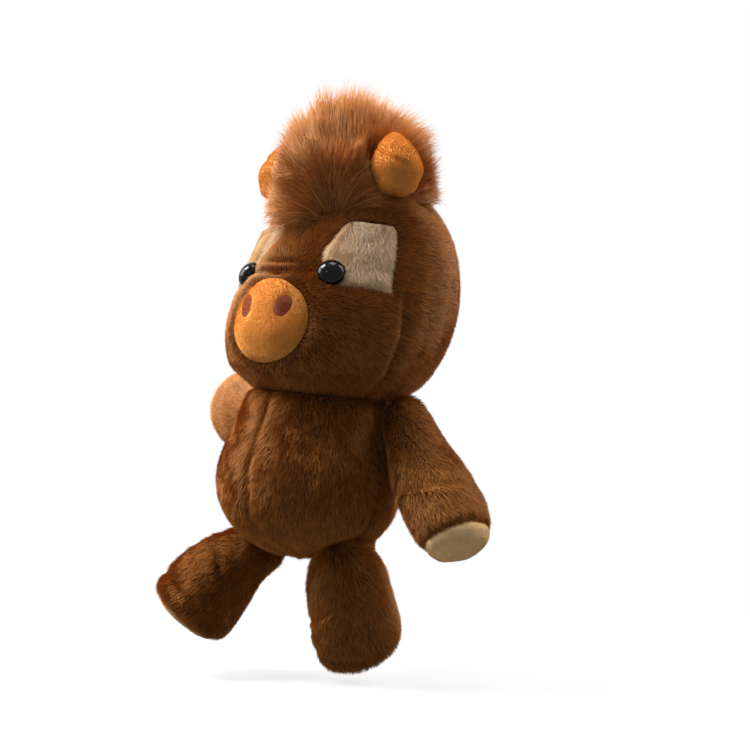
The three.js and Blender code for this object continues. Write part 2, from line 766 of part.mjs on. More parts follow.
// Tail: a soft cord with a round root, and the tuft sewn to its end
function makeTail() {
  const cord = new THREE.Path();
  cord.moveTo(0, -TAIL_LENGTH);
  cord.lineTo(TAIL_RADIUS, -TAIL_LENGTH);
  cord.bezierCurveTo(TAIL_RADIUS, -TAIL_LENGTH / 2, TAIL_ROOT, -TAIL_LENGTH / 4, TAIL_ROOT, 0);
  cord.absarc(0, 0, TAIL_ROOT, 0, Math.PI / 2, false);
  const top = -TAIL_LENGTH - CLEARANCE;
  const tuft = new THREE.Path();
  tuft.moveTo(0, top - TUFT_LENGTH);
  const middle = top - TUFT_LENGTH / 2;
  tuft.bezierCurveTo(TUFT_RADIUS / 2, top - TUFT_LENGTH, TUFT_RADIUS, middle - TUFT_LENGTH / 5, TUFT_RADIUS, middle);
  tuft.quadraticCurveTo(TUFT_RADIUS, top, TAIL_RADIUS, top);
  tuft.lineTo(0, top);
  const tail = new THREE.Group();
  tail.position.copy(tailCentre());
  tail.rotation.x = radians(TAIL_LIFT);
  tail.add(piece("tail_cord", solidOf(turned(cord.getPoints(CURVE_STEPS), HORN_SIDES)), "brown"));
  tail.add(piece("tail_tuft", solidOf(turned(tuft.getPoints(CURVE_STEPS), HORN_SIDES)), "hair"));
  return tail;
}

// The whole toy, with its origin under the middle of its box
const head = makeHead();
head.add(makeHorn("left", LEFT), makeHorn("right", RIGHT));
const toy = new THREE.Group();
toy.add(
  makeTorso(),
  makeNeck(),
  head,
  makeArm("left", LEFT, limbPose(LEFT_ARM_FORWARD, LEFT_ARM_OUT, LEFT)),
  makeArm("right", RIGHT, limbPose(RIGHT_ARM_FORWARD, RIGHT_ARM_OUT, RIGHT)),
  makeLeg("left", LEFT, limbPose(LEFT_LEG_FORWARD, LEFT_LEG_OUT, LEFT)),
  makeLeg("right", RIGHT, limbPose(RIGHT_LEG_FORWARD, RIGHT_LEG_OUT, RIGHT)),
  makeTail(),
);
toy.rotation.set(radians(-LEAN_BACK), radians(LEAN_SIDE), 0);
const box = new THREE.Box3().setFromObject(toy, true);
toy.position.set(-(box.min.x + box.max.x) / 2, -(box.min.y + box.max.y) / 2, -box.min.z);

export default toy;
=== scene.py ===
import json
import math

import bmesh
import bpy
from bpy.props import FloatProperty, FloatVectorProperty, IntProperty, PointerProperty
from mathutils import Matrix, Vector, noise
from mathutils.bvhtree import BVHTree
from mathutils.kdtree import KDTree


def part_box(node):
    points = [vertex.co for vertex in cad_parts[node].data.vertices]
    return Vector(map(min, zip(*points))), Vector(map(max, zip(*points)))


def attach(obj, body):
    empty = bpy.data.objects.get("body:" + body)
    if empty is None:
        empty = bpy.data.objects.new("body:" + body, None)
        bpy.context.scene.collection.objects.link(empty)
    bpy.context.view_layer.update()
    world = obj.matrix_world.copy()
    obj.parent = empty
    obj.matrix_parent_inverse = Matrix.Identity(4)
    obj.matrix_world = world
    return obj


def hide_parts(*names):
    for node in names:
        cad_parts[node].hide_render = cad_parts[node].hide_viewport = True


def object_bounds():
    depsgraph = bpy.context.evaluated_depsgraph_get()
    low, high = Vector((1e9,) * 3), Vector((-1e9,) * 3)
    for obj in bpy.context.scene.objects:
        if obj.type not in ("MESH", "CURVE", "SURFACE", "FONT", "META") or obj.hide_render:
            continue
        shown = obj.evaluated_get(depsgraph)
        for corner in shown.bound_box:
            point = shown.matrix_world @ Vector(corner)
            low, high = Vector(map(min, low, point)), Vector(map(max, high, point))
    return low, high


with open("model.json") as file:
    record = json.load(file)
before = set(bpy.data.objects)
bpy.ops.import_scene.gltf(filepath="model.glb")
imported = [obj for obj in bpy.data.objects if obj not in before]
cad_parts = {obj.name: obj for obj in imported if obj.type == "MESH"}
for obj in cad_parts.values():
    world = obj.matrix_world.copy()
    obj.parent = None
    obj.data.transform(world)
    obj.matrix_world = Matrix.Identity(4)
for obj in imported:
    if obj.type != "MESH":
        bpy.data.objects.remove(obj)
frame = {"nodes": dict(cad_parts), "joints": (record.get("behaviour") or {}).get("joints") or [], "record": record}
CAD_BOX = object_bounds()

bl_info = {
    "name": "Plush cow",
    "version": (1, 0, 0),
    "blender": (4, 5, 0),
    "location": "View3D > Sidebar > Plush cow",
    "description": "Dresses the solids of a stuffed toy cow in sewn covers, pile, hair and eyes",
    "category": "Object",
}

# The toy leans a little in the frame, so its own directions come from its neck.
HINGES = {hinge["name"]: hinge for hinge in frame["joints"]}
TOY_UP = Vector(HINGES["neck_turn"]["axis"]).normalized()
TOY_LEFT = Vector(HINGES["head_nod"]["axis"]).normalized()
TOY_FRONT = TOY_LEFT.cross(TOY_UP).normalized()
NECK = Vector(HINGES["neck_turn"]["pos_m"])

SIDES = ("left", "right")
MM = 0.001
UP = Vector((0, 0, 1))

TORSO_PANELS = ["torso_front_left", "torso_front_right", "torso_back_left", "torso_back_right"]
HEAD_PANELS = [
    "forehead_panel", "cheek_left", "cheek_right", "head_side_left", "head_side_right",
    "eye_patch_left", "eye_patch_right", "muzzle_patch", "nostril_left", "nostril_right",
]


class CowSizes(bpy.types.PropertyGroup):
    """Sizes of the toy's fabric, pile and hair."""

    wall: FloatProperty(
        name="Fabric", description="Thickness of the sewn fabric", default=1.2 * MM, unit="LENGTH")
    seam_depth: FloatProperty(
        name="Seam depth", description="How far a seam pulls the cover in", default=1.7 * MM, unit="LENGTH")
    seam_width: FloatProperty(
        name="Seam width", description="How far from a seam the cover dips", default=2.6 * MM, unit="LENGTH")
    swell: FloatProperty(
        name="Swell", description="The most that the filling pushes a panel out",
        default=2.2 * MM, unit="LENGTH")
    pile_length: FloatProperty(
        name="Pile length", description="Length of the brown pile", default=4.3 * MM, unit="LENGTH")
    pile_width: FloatProperty(
        name="Pile width", description="Radius of a tuft of pile at its root",
        default=0.23 * MM, unit="LENGTH")
    pile_count: FloatProperty(
        name="Pile per square mm", description="Tufts of pile on a square millimetre", default=2.9)
    pile_lift: FloatProperty(
        name="Pile lift", description="Angle at which the pile stands off the fabric",
        default=math.radians(27), subtype="ANGLE")
    nap_length: FloatProperty(
        name="Nap length", description="Length of the short nap on muzzle, horns and pads",
        default=1.2 * MM, unit="LENGTH")
    hair_width: FloatProperty(
        name="Hair width", description="Radius of a lock of hair at its root",
        default=0.30 * MM, unit="LENGTH")
    hair_count: FloatProperty(
        name="Hairs per square mm", description="Locks of hair on a square millimetre", default=2.0)
    seed: IntProperty(name="Seed", description="Start of the random draws", default=4)


class CowColours(bpy.types.PropertyGroup):
    """Colours of the toy's finishes."""

    # Painted shade: the dark root colour stands in for the shade deep in the pile.
    brown_root: FloatVectorProperty(
        name="Brown root", description="Brown pile at the fabric", subtype="COLOR",
        default=(0.048, 0.0165, 0.007))
    brown_tip: FloatVectorProperty(
        name="Brown tip", description="Brown pile at its tips", subtype="COLOR",
        default=(0.520, 0.195, 0.038))
    # Painted shade: the cream root is darker than its tip, in place of the shade deep in the pile.
    cream_root: FloatVectorProperty(
        name="Cream root", description="Cream pile at the fabric", subtype="COLOR",
        default=(0.770, 0.555, 0.350))
    cream_tip: FloatVectorProperty(
        name="Cream tip", description="Cream pile at its tips", subtype="COLOR",
        default=(0.930, 0.720, 0.490))
    # Painted shade: the darker colour at the nap's roots and in its hollows stands in for shade.
    orange_low: FloatVectorProperty(
        name="Orange shade", description="Orange nap in its hollows", subtype="COLOR",
        default=(0.800, 0.350, 0.075))
    orange_high: FloatVectorProperty(
        name="Orange light", description="Orange nap at its tips", subtype="COLOR",
        default=(0.980, 0.490, 0.125))
    # Painted shade: the darker colour at the nap's roots and in its hollows stands in for shade.
    red_low: FloatVectorProperty(
        name="Red shade", description="Nostril nap in its hollows", subtype="COLOR",
        default=(0.320, 0.090, 0.039))
    red_high: FloatVectorProperty(
        name="Red light", description="Nostril nap at its tips", subtype="COLOR",
        default=(0.530, 0.170, 0.078))
    # Painted shade: the darker colour at the pad nap's roots and in its weave stands in for shade.
    tan_low: FloatVectorProperty(
        name="Tan shade", description="Pad fabric in its weave", subtype="COLOR",
        default=(0.860, 0.570, 0.285))
    tan_high: FloatVectorProperty(
        name="Tan light", description="Pad fabric on top", subtype="COLOR",
        default=(0.980, 0.720, 0.400))
    # Painted shade: the dark root colour stands in for the shade deep inside the hair.
    hair_root: FloatVectorProperty(
        name="Hair root", description="Long hair at its roots", subtype="COLOR",
        default=(0.150, 0.047, 0.011))
    hair_tip: FloatVectorProperty(
        name="Hair tip", description="Long hair at its tips", subtype="COLOR",
        default=(0.620, 0.250, 0.065))
    eye: FloatVectorProperty(
        name="Eye", description="Polished plastic of the eyes", subtype="COLOR",
        default=(0.002, 0.002, 0.002))
    washer: FloatVectorProperty(
        name="Washer", description="Moulded plastic of the eyes' washers", subtype="COLOR",
        default=(0.620, 0.620, 0.600))
    filling: FloatVectorProperty(
        name="Filling", description="Fibre that fills the toy", subtype="COLOR",
        default=(0.780, 0.760, 0.720))


class CowStage(bpy.types.PropertyGroup):
    """Camera and light of the picture."""

    azimuth: FloatProperty(
        name="Azimuth", description="Camera's turn round the toy", default=math.radians(40), subtype="ANGLE")
    elevation: FloatProperty(
        name="Elevation", description="Camera's height above the horizon",
        default=math.radians(-2), subtype="ANGLE")
    distance: FloatProperty(
        name="Distance", description="Camera to target", default=0.9, unit="LENGTH")
    lens: FloatProperty(name="Lens", description="Focal length in millimetres", default=80)
    key: FloatProperty(name="Key light", description="Power of the main lamp", default=27.0, unit="POWER")
    rim: FloatProperty(
        name="Rim light", description="Power of the lamp behind on the right", default=18.0, unit="POWER")
    side: FloatProperty(
        name="Side light", description="Power of the lamp on the left", default=13.0, unit="POWER")
    top: FloatProperty(
        name="Top light", description="Power of the lamp above", default=5.0, unit="POWER")
    glint: FloatProperty(
        name="Glint", description="Power of the small lamp that the eyes mirror", default=0.45, unit="POWER")
    sky: FloatProperty(name="Sky", description="Strength of the light from all round", default=0.04)


# Finishes: node materials for pile, fabric and plastic.


def new_material(name):
    """A node material with its Principled shader."""
    material = bpy.data.materials.new(name)
    material.use_nodes = True
    tree = material.node_tree
    return material, tree, tree.nodes["Principled BSDF"]


def rgba(colour):
    """A colour property as four numbers."""
    return (colour[0], colour[1], colour[2], 1.0)


def mix_colours(tree, first, second, factor):
    """A Mix node for two colours; each is a colour or an output socket."""
    node = tree.nodes.new("ShaderNodeMix")
    node.data_type = "RGBA"
    sockets = {socket.identifier: socket for socket in node.inputs}
    for key, value in (("A_Color", first), ("B_Color", second)):
        if isinstance(value, bpy.types.NodeSocket):
            tree.links.new(value, sockets[key])
        else:
            sockets[key].default_value = rgba(value)
    tree.links.new(factor, sockets["Factor_Float"])
    return next(socket for socket in node.outputs if socket.identifier == "Result_Color")


def noise_on_piece(tree, scale, detail=3.0, roughness=0.55):
    """Noise on the piece's own coordinates; gives its factor."""
    place = tree.nodes.new("ShaderNodeTexCoord")
    grain = tree.nodes.new("ShaderNodeTexNoise")
    grain.inputs["Scale"].default_value = scale
    grain.inputs["Detail"].default_value = detail
    grain.inputs["Roughness"].default_value = roughness
    tree.links.new(place.outputs["Object"], grain.inputs["Vector"])
    return grain.outputs["Fac"]


def stretch_range(tree, value, low, high, to_low=0.0, to_high=1.0):
    """Maps low..high to another range, clamped."""
    node = tree.nodes.new("ShaderNodeMapRange")
    node.inputs["From Min"].default_value = low
    node.inputs["From Max"].default_value = high
    node.inputs["To Min"].default_value = to_low
    node.inputs["To Max"].default_value = to_high
    tree.links.new(value, node.inputs["Value"])
    return node.outputs["Result"]


def strand_finish(name, root, tip, shade, light, roughness, sheen):
    """Finish of pile and hair: dark at the root as painted shade of the pile's depth, lighter to the tip, each
    strand with a tint of its own.
    """
    colours = bpy.context.scene.cow_colours
    root, tip = getattr(colours, root), getattr(colours, tip)
    material, tree, shader = new_material(name)
    along = tree.nodes.new("ShaderNodeAttribute")
    along.attribute_name = "along"
    tint = tree.nodes.new("ShaderNodeAttribute")
    tint.attribute_name = "tint"
    # Painted shade: the root colour darkens each strand towards the fabric, in place of the shade deep in the
    # pile.
    rise = stretch_range(tree, along.outputs["Fac"], 0.0, 0.9)
    strand = mix_colours(tree, root, tip, rise)
    streak = stretch_range(tree, tint.outputs["Fac"], 0.2, 0.8)
    dark = [c * shade for c in tip]
    toned = mix_colours(tree, strand, dark, stretch_range(tree, streak, 0.45, 0.0, 0.0, 0.75))
    pale = [min(1.0, c * light) for c in tip]
    lit = mix_colours(tree, toned, pale, stretch_range(tree, streak, 0.6, 1.0, 0.0, 0.55))
    tree.links.new(lit, shader.inputs["Base Color"])
    patchy = noise_on_piece(tree, 60.0)
    uneven = stretch_range(tree, patchy, 0.3, 0.7, roughness - 0.08, roughness + 0.08)
    tree.links.new(uneven, shader.inputs["Roughness"])
    shader.inputs["Specular IOR Level"].default_value = 0.12
    shader.inputs["Sheen Weight"].default_value = sheen
    shader.inputs["Sheen Roughness"].default_value = 0.45
    shader.inputs["Sheen Tint"].default_value = rgba(tip)
    return material


def cloth_finish(name, low, high, dim, scale, roughness, sheen, depth):
    """Finish of a fabric: two tones in a fine nap with soft clouds, the darker one painted shade of the nap's
    hollows, and the nap's own relief.
    """
    colours = bpy.context.scene.cow_colours
    low, high = [c * dim for c in getattr(colours, low)], getattr(colours, high)
    material, tree, shader = new_material(name)
    fine = noise_on_piece(tree, scale, 4.0, 0.65)
    clouds = noise_on_piece(tree, scale / 14.0, 2.0, 0.5)
    nap = mix_colours(tree, low, high, stretch_range(tree, fine, 0.34, 0.66))
    brushed = [min(1.0, c * 1.12) for c in high]
    tone = mix_colours(tree, nap, brushed, stretch_range(tree, clouds, 0.45, 0.7, 0.0, 0.6))
    tree.links.new(tone, shader.inputs["Base Color"])
    uneven = stretch_range(tree, fine, 0.3, 0.7, roughness - 0.07, roughness + 0.07)
    tree.links.new(uneven, shader.inputs["Roughness"])
    relief = tree.nodes.new("ShaderNodeBump")
    relief.inputs["Strength"].default_value = 0.5
    relief.inputs["Distance"].default_value = depth
    tree.links.new(fine, relief.inputs["Height"])
    tree.links.new(relief.outputs["Normal"], shader.inputs["Normal"])
    shader.inputs["Specular IOR Level"].default_value = 0.05
    shader.inputs["Sheen Weight"].default_value = sheen
    shader.inputs["Sheen Roughness"].default_value = 0.5
    shader.inputs["Sheen Tint"].default_value = rgba(high)
    return material


def plastic_finish(name, colour, roughness, gloss):
    """Finish of moulded plastic, with faint swirls and smears."""
    colour = getattr(bpy.context.scene.cow_colours, colour)
    material, tree, shader = new_material(name)
    swirl = noise_on_piece(tree, 220.0, 2.0, 0.5)
    paler = [min(1.0, c * 1.5 + 0.002) for c in colour]
    tree.links.new(mix_colours(tree, colour, paler, swirl), shader.inputs["Base Color"])
    smear = noise_on_piece(tree, 400.0, 3.0, 0.6)
    uneven = stretch_range(tree, smear, 0.3, 0.7, roughness * 0.7, roughness * 1.3)
    tree.links.new(uneven, shader.inputs["Roughness"])
    shader.inputs["Specular IOR Level"].default_value = gloss
    return material


# Pile, nap and hair: colours of root and tip, shares of the tip's colour in dark and light strands.
STRAND_FINISHES = {
    "brown_pile": dict(
        root="brown_root", tip="brown_tip", shade=0.42, light=1.5, roughness=0.62, sheen=0.15),
    "cream_pile": dict(
        root="cream_root", tip="cream_tip", shade=0.55, light=1.12, roughness=0.7, sheen=0.1),
    "hair": dict(
        root="hair_root", tip="hair_tip", shade=0.45, light=1.35, roughness=0.5, sheen=0.1),
    "orange_nap": dict(
        root="orange_low", tip="orange_high", shade=0.58, light=1.25, roughness=0.8, sheen=0.1),
    "red_nap": dict(
        root="red_low", tip="red_high", shade=0.6, light=1.3, roughness=0.75, sheen=0.2),
    "tan_nap": dict(
        root="tan_low", tip="tan_high", shade=0.8, light=1.1, roughness=0.75, sheen=0.2),
}
# Fabrics: colours of the nap's hollows (painted shade) and tops, share of light in the hollows, its fineness and
# depth.
CLOTH_FINISHES = {
    # The fabric under the brown pile takes the root's painted shade, dimmed further in its hollows.
    "brown_cloth": dict(
        low="brown_root", high="brown_root", dim=0.7, scale=900, roughness=0.85, sheen=0.1, depth=0.3 * MM),
    "cream_cloth": dict(
        low="cream_root", high="cream_tip", dim=1.0, scale=900, roughness=0.85, sheen=0.1, depth=0.3 * MM),
    "orange_cloth": dict(
        low="orange_low", high="orange_high", dim=1.0, scale=1400, roughness=0.85, sheen=0.15,
        depth=0.25 * MM),
    "red_cloth": dict(
        low="red_low", high="red_high", dim=1.0, scale=1600, roughness=0.8, sheen=0.2, depth=0.25 * MM),
    "tan_cloth": dict(
        low="tan_low", high="tan_high", dim=1.0, scale=1500, roughness=0.8, sheen=0.35, depth=0.2 * MM),
    # The fabric under the hair takes the hair root's painted shade, dimmed further in its hollows.
    "hair_cloth": dict(
        low="hair_root", high="hair_root", dim=0.7, scale=800, roughness=0.85, sheen=0.1, depth=0.3 * MM),
    "filling": dict(
        low="filling", high="filling", dim=0.8, scale=500, roughness=0.95, sheen=0.2, depth=0.6 * MM),
}
PLASTIC_FINISHES = {
    "eye_plastic": dict(colour="eye", roughness=0.05, gloss=0.12),
    "washer_plastic": dict(colour="washer", roughness=0.4, gloss=0.4),
}
FINISHES = {}


def finish_named(name):
    """One of the toy's finishes, made once from the colours in the panel."""
    if name not in FINISHES:
        if name in STRAND_FINISHES:
            FINISHES[name] = strand_finish(name, **STRAND_FINISHES[name])
        elif name in CLOTH_FINISHES:
            FINISHES[name] = cloth_finish(name, **CLOTH_FINISHES[name])
        else:
            FINISHES[name] = plastic_finish(name, **PLASTIC_FINISHES[name])
    return FINISHES[name]


# Covers: each body's stuffed form, parted into its sewn panels.


def bell(gap, width):
    """A smooth hump of height one."""
    return math.exp(-(gap / width) ** 2)


def clamp(value):
    """A value kept between zero and one."""
    return min(1.0, max(0.0, value))


def middle_of(node):
    """Middle of a CAD node's box."""
    low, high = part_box(node)
    return (low + high) / 2


def add_piece(name, mesh):
    """A new object for a mesh, at the origin."""
    piece = bpy.data.objects.new(name, mesh)
    bpy.context.scene.collection.objects.link(piece)
    return piece


def drop_piece(piece):
    """Removes a helper object and its mesh."""
    mesh = piece.data
    bpy.data.objects.remove(piece)
    bpy.data.meshes.remove(mesh)


def final_mesh(piece):
    """The mesh of a piece with its modifiers."""
    bpy.context.view_layer.update()
    graph = bpy.context.evaluated_depsgraph_get()
    return bpy.data.meshes.new_from_object(piece.evaluated_get(graph))


def settle(piece):
    """Puts a helper's modifiers into its mesh."""
    mesh = final_mesh(piece)
    old = piece.data
    piece.modifiers.clear()
    piece.data = mesh
    bpy.data.meshes.remove(old)


def new_mesh(bm, name):
    """Puts a bmesh into a new mesh and frees it."""
    mesh = bpy.data.meshes.new(name)
    bm.to_mesh(mesh)
    bm.free()
    return mesh


def bmesh_of(*meshes):
    """A bmesh with copies of some meshes."""
    bm = bmesh.new()
    for mesh in meshes:
        bm.from_mesh(mesh)
    return bm


def solid_tree(name):
    """A search tree of a CAD node's surface."""
    bm = bmesh_of(frame["nodes"][name].data)
    tree = BVHTree.FromBMesh(bm)
    bm.free()
    return tree


def joined_copy(name, nodes):
    """One helper with copies of several CAD nodes, their loose triangles merged."""
    bm = bmesh_of(*[frame["nodes"][node].data for node in nodes])
    bmesh.ops.remove_doubles(bm, verts=bm.verts[:], dist=0.01 * MM)
    return add_piece(name, new_mesh(bm, name))


def keep_largest(bm):
    """Leaves only the outer skin of a remeshed form."""
    left = set(bm.verts)
    islands = []
    while left:
        start = left.pop()
        island = [start]
        edge = [start]
        while edge:
            vert = edge.pop()
            for link in vert.link_edges:
                other = link.other_vert(vert)
                if other in left:
                    left.remove(other)
                    island.append(other)
                    edge.append(other)
        islands.append(island)
    islands.sort(key=len)
    for island in islands[:-1]:
        bmesh.ops.delete(bm, geom=island, context="VERTS")


def relax(bm, verts, rounds):
    """Evens out a surface at some of its vertices."""
    for _ in range(rounds):
        bmesh.ops.smooth_vert(
            bm, verts=verts, factor=0.5, use_axis_x=True, use_axis_y=True, use_axis_z=True)


def stuffed_form(name, nodes, grain, rounds):
    """One closed, rounded form over the panels and filling of a body, before its seams."""
    form = joined_copy(name, nodes)
    remesh = form.modifiers.new("grain", "REMESH")
    remesh.mode = "VOXEL"
    remesh.voxel_size = grain
    remesh.adaptivity = 0
    settle(form)
    bm = bmesh_of(form.data)
    keep_largest(bm)
    relax(bm, bm.verts[:], rounds)
    bm.to_mesh(form.data)
    bm.free()
    return form


def nearest_panel(place, trees):
    """Index of the panel that lies nearest to a point."""
    best, found = None, 0
    for index, tree in enumerate(trees):
        hit = tree.find_nearest(place)
        if hit[0] is not None and (best is None or hit[3] < best):
            best, found = hit[3], index
    return found


def mark_panels(bm, trees):
    """Gives each face the number of its panel, in its material index."""
    for face in bm.faces:
        face.material_index = nearest_panel(face.calc_center_median(), trees)


def seam_verts(bm, flat=()):
    """The vertices where two panels meet, leaving out those panels that are stitched on flat."""
    found = []
    for vert in bm.verts:
        panels = {face.material_index for face in vert.link_faces} - set(flat)
        if len(panels) > 1:
            found.append(vert)
    return found


def seam_edges(bm):
    """The edges where two panels meet."""
    return [
        edge for edge in bm.edges
        if len(edge.link_faces) == 2
        and edge.link_faces[0].material_index != edge.link_faces[1].material_index
    ]


def straighten_seams(bm, rounds):
    """Evens out the steps that the faces leave in each seam."""
    for _ in range(2):
        for face in bm.faces:
            other = [
                edge.link_faces[0] if edge.link_faces[1] == face else edge.link_faces[1]
                for edge in face.edges if len(edge.link_faces) == 2
            ]
            counts = {}
            for near in other:
                counts[near.material_index] = counts.get(near.material_index, 0) + 1
            top = max(counts, key=counts.get)
            if counts[top] >= 3:
                face.material_index = top
    along = {}
    for edge in seam_edges(bm):
        first, second = edge.verts
        along.setdefault(first, []).append(second)
        along.setdefault(second, []).append(first)
    line = [vert for vert, near in along.items() if len(near) == 2]
    for _ in range(rounds):
        moved = [(v, v.co * 0.4 + (along[v][0].co + along[v][1].co) * 0.3) for v in line]
        for vert, place in moved:
            vert.co = place
    on_seam = set(along)
    near_seam = {edge.other_vert(vert) for vert in on_seam for edge in vert.link_edges}
    loose = [vert for vert in near_seam if vert not in on_seam]
    relax(bm, loose, 4)


def pull_seams(bm, depth, width, flat=()):
    """Pulls the cover in along its seams."""
    places = [vert.co.copy() for vert in seam_verts(bm, flat)]
    if not places:
        return
    near = KDTree(len(places))
    for index, place in enumerate(places):
        near.insert(place, index)
    near.balance()
    bm.normal_update()
    for vert in bm.verts:
        gap = near.find(vert.co)[2]
        if gap < 3 * width:
            vert.co -= vert.normal * depth * bell(gap, width)


FILLING_PRESSURE = 4.0
SWELL_FRAMES = 20


def puff(form, trees, most, flat=()):
    """Lets the filling's pressure swell the panels between their seams, by at most a given reach."""
    scene = bpy.context.scene
    bm = bmesh_of(form.data)
    mark_panels(bm, trees)
    bm.verts.index_update()
    held = [vert.index for vert in seam_verts(bm, flat)]
    bm.free()
    rest = [vert.co.copy() for vert in form.data.vertices]
    if held:
        form.vertex_groups.new(name="seams").add(held, 1.0, "REPLACE")
    cloth = form.modifiers.new("swell", "CLOTH")
    cloth.settings.quality = 4
    cloth.settings.mass = 0.15
    cloth.settings.use_pressure = True
    cloth.settings.uniform_pressure_force = FILLING_PRESSURE
    cloth.settings.effector_weights.gravity = 0
    cloth.collision_settings.use_collision = False
    if held:
        cloth.settings.vertex_group_mass = "seams"
    cloth.point_cache.frame_start = 1
    cloth.point_cache.frame_end = SWELL_FRAMES
    for step in range(1, SWELL_FRAMES + 1):
        scene.frame_set(step)
    swollen = final_mesh(form)
    form.modifiers.clear()
    form.vertex_groups.clear()
    for vert, start, end in zip(form.data.vertices, rest, swollen.vertices):
        move = end.co - start
        if move.length > most:
            move *= most / move.length
        vert.co = start + move
    bpy.data.meshes.remove(swollen)
    scene.frame_set(1)


def finer(form):
    """Subdivides a form once, with its faces rounded."""
    smooth = form.modifiers.new("round", "SUBSURF")
    smooth.levels = 1
    smooth.render_levels = 1
    settle(form)


def cut_panels(form, panels):
    """Parts a form into one open mesh for each panel, keyed by the panel's name."""
    cut = {}
    for index, panel in enumerate(panels):
        bm = bmesh_of(form.data)
        spare = [face for face in bm.faces if face.material_index != index]
        bmesh.ops.delete(bm, geom=spare, context="FACES")
        for face in bm.faces:
            face.material_index = 0
            face.smooth = True
        cut[panel] = new_mesh(bm, panel + "_cover")
    return cut


# Slot and fabric of the panels, by the start of their names; all others are brown.
FABRICS = {
    "eye_patch": ("cream_pile", "cream_cloth"),
    "muzzle": ("orange_pile", "orange_cloth"),
    "nostril": ("red_pile", "red_cloth"),
    "horn": ("orange_pile", "orange_cloth"),
    "paw_pad": ("cream_pile", "tan_cloth"),
    "foot_pad": ("cream_pile", "tan_cloth"),
    "tail_tuft": ("long_pile", "hair_cloth"),
}


def add_wall(piece):
    """Gives a piece the fabric's thickness, inwards."""
    wall = piece.modifiers.new("fabric", "SOLIDIFY")
    wall.thickness = bpy.context.scene.cow_sizes.wall
    wall.offset = -1


def sewn_cover(panel, mesh, body):
    """A panel's cover of fabric, in place of the CAD panel."""
    brown = ("brown_pile", "brown_cloth")
    slot, fabric = next((pair for start, pair in FABRICS.items() if panel.startswith(start)), brown)
    cover = add_piece(panel + "_cover", mesh)
    mesh.materials.clear()
    mesh.materials.append(finish_named(fabric))
    add_wall(cover)
    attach(cover, body)
    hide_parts(panel)


# Pile and hair: tapered strands grown on the covers.


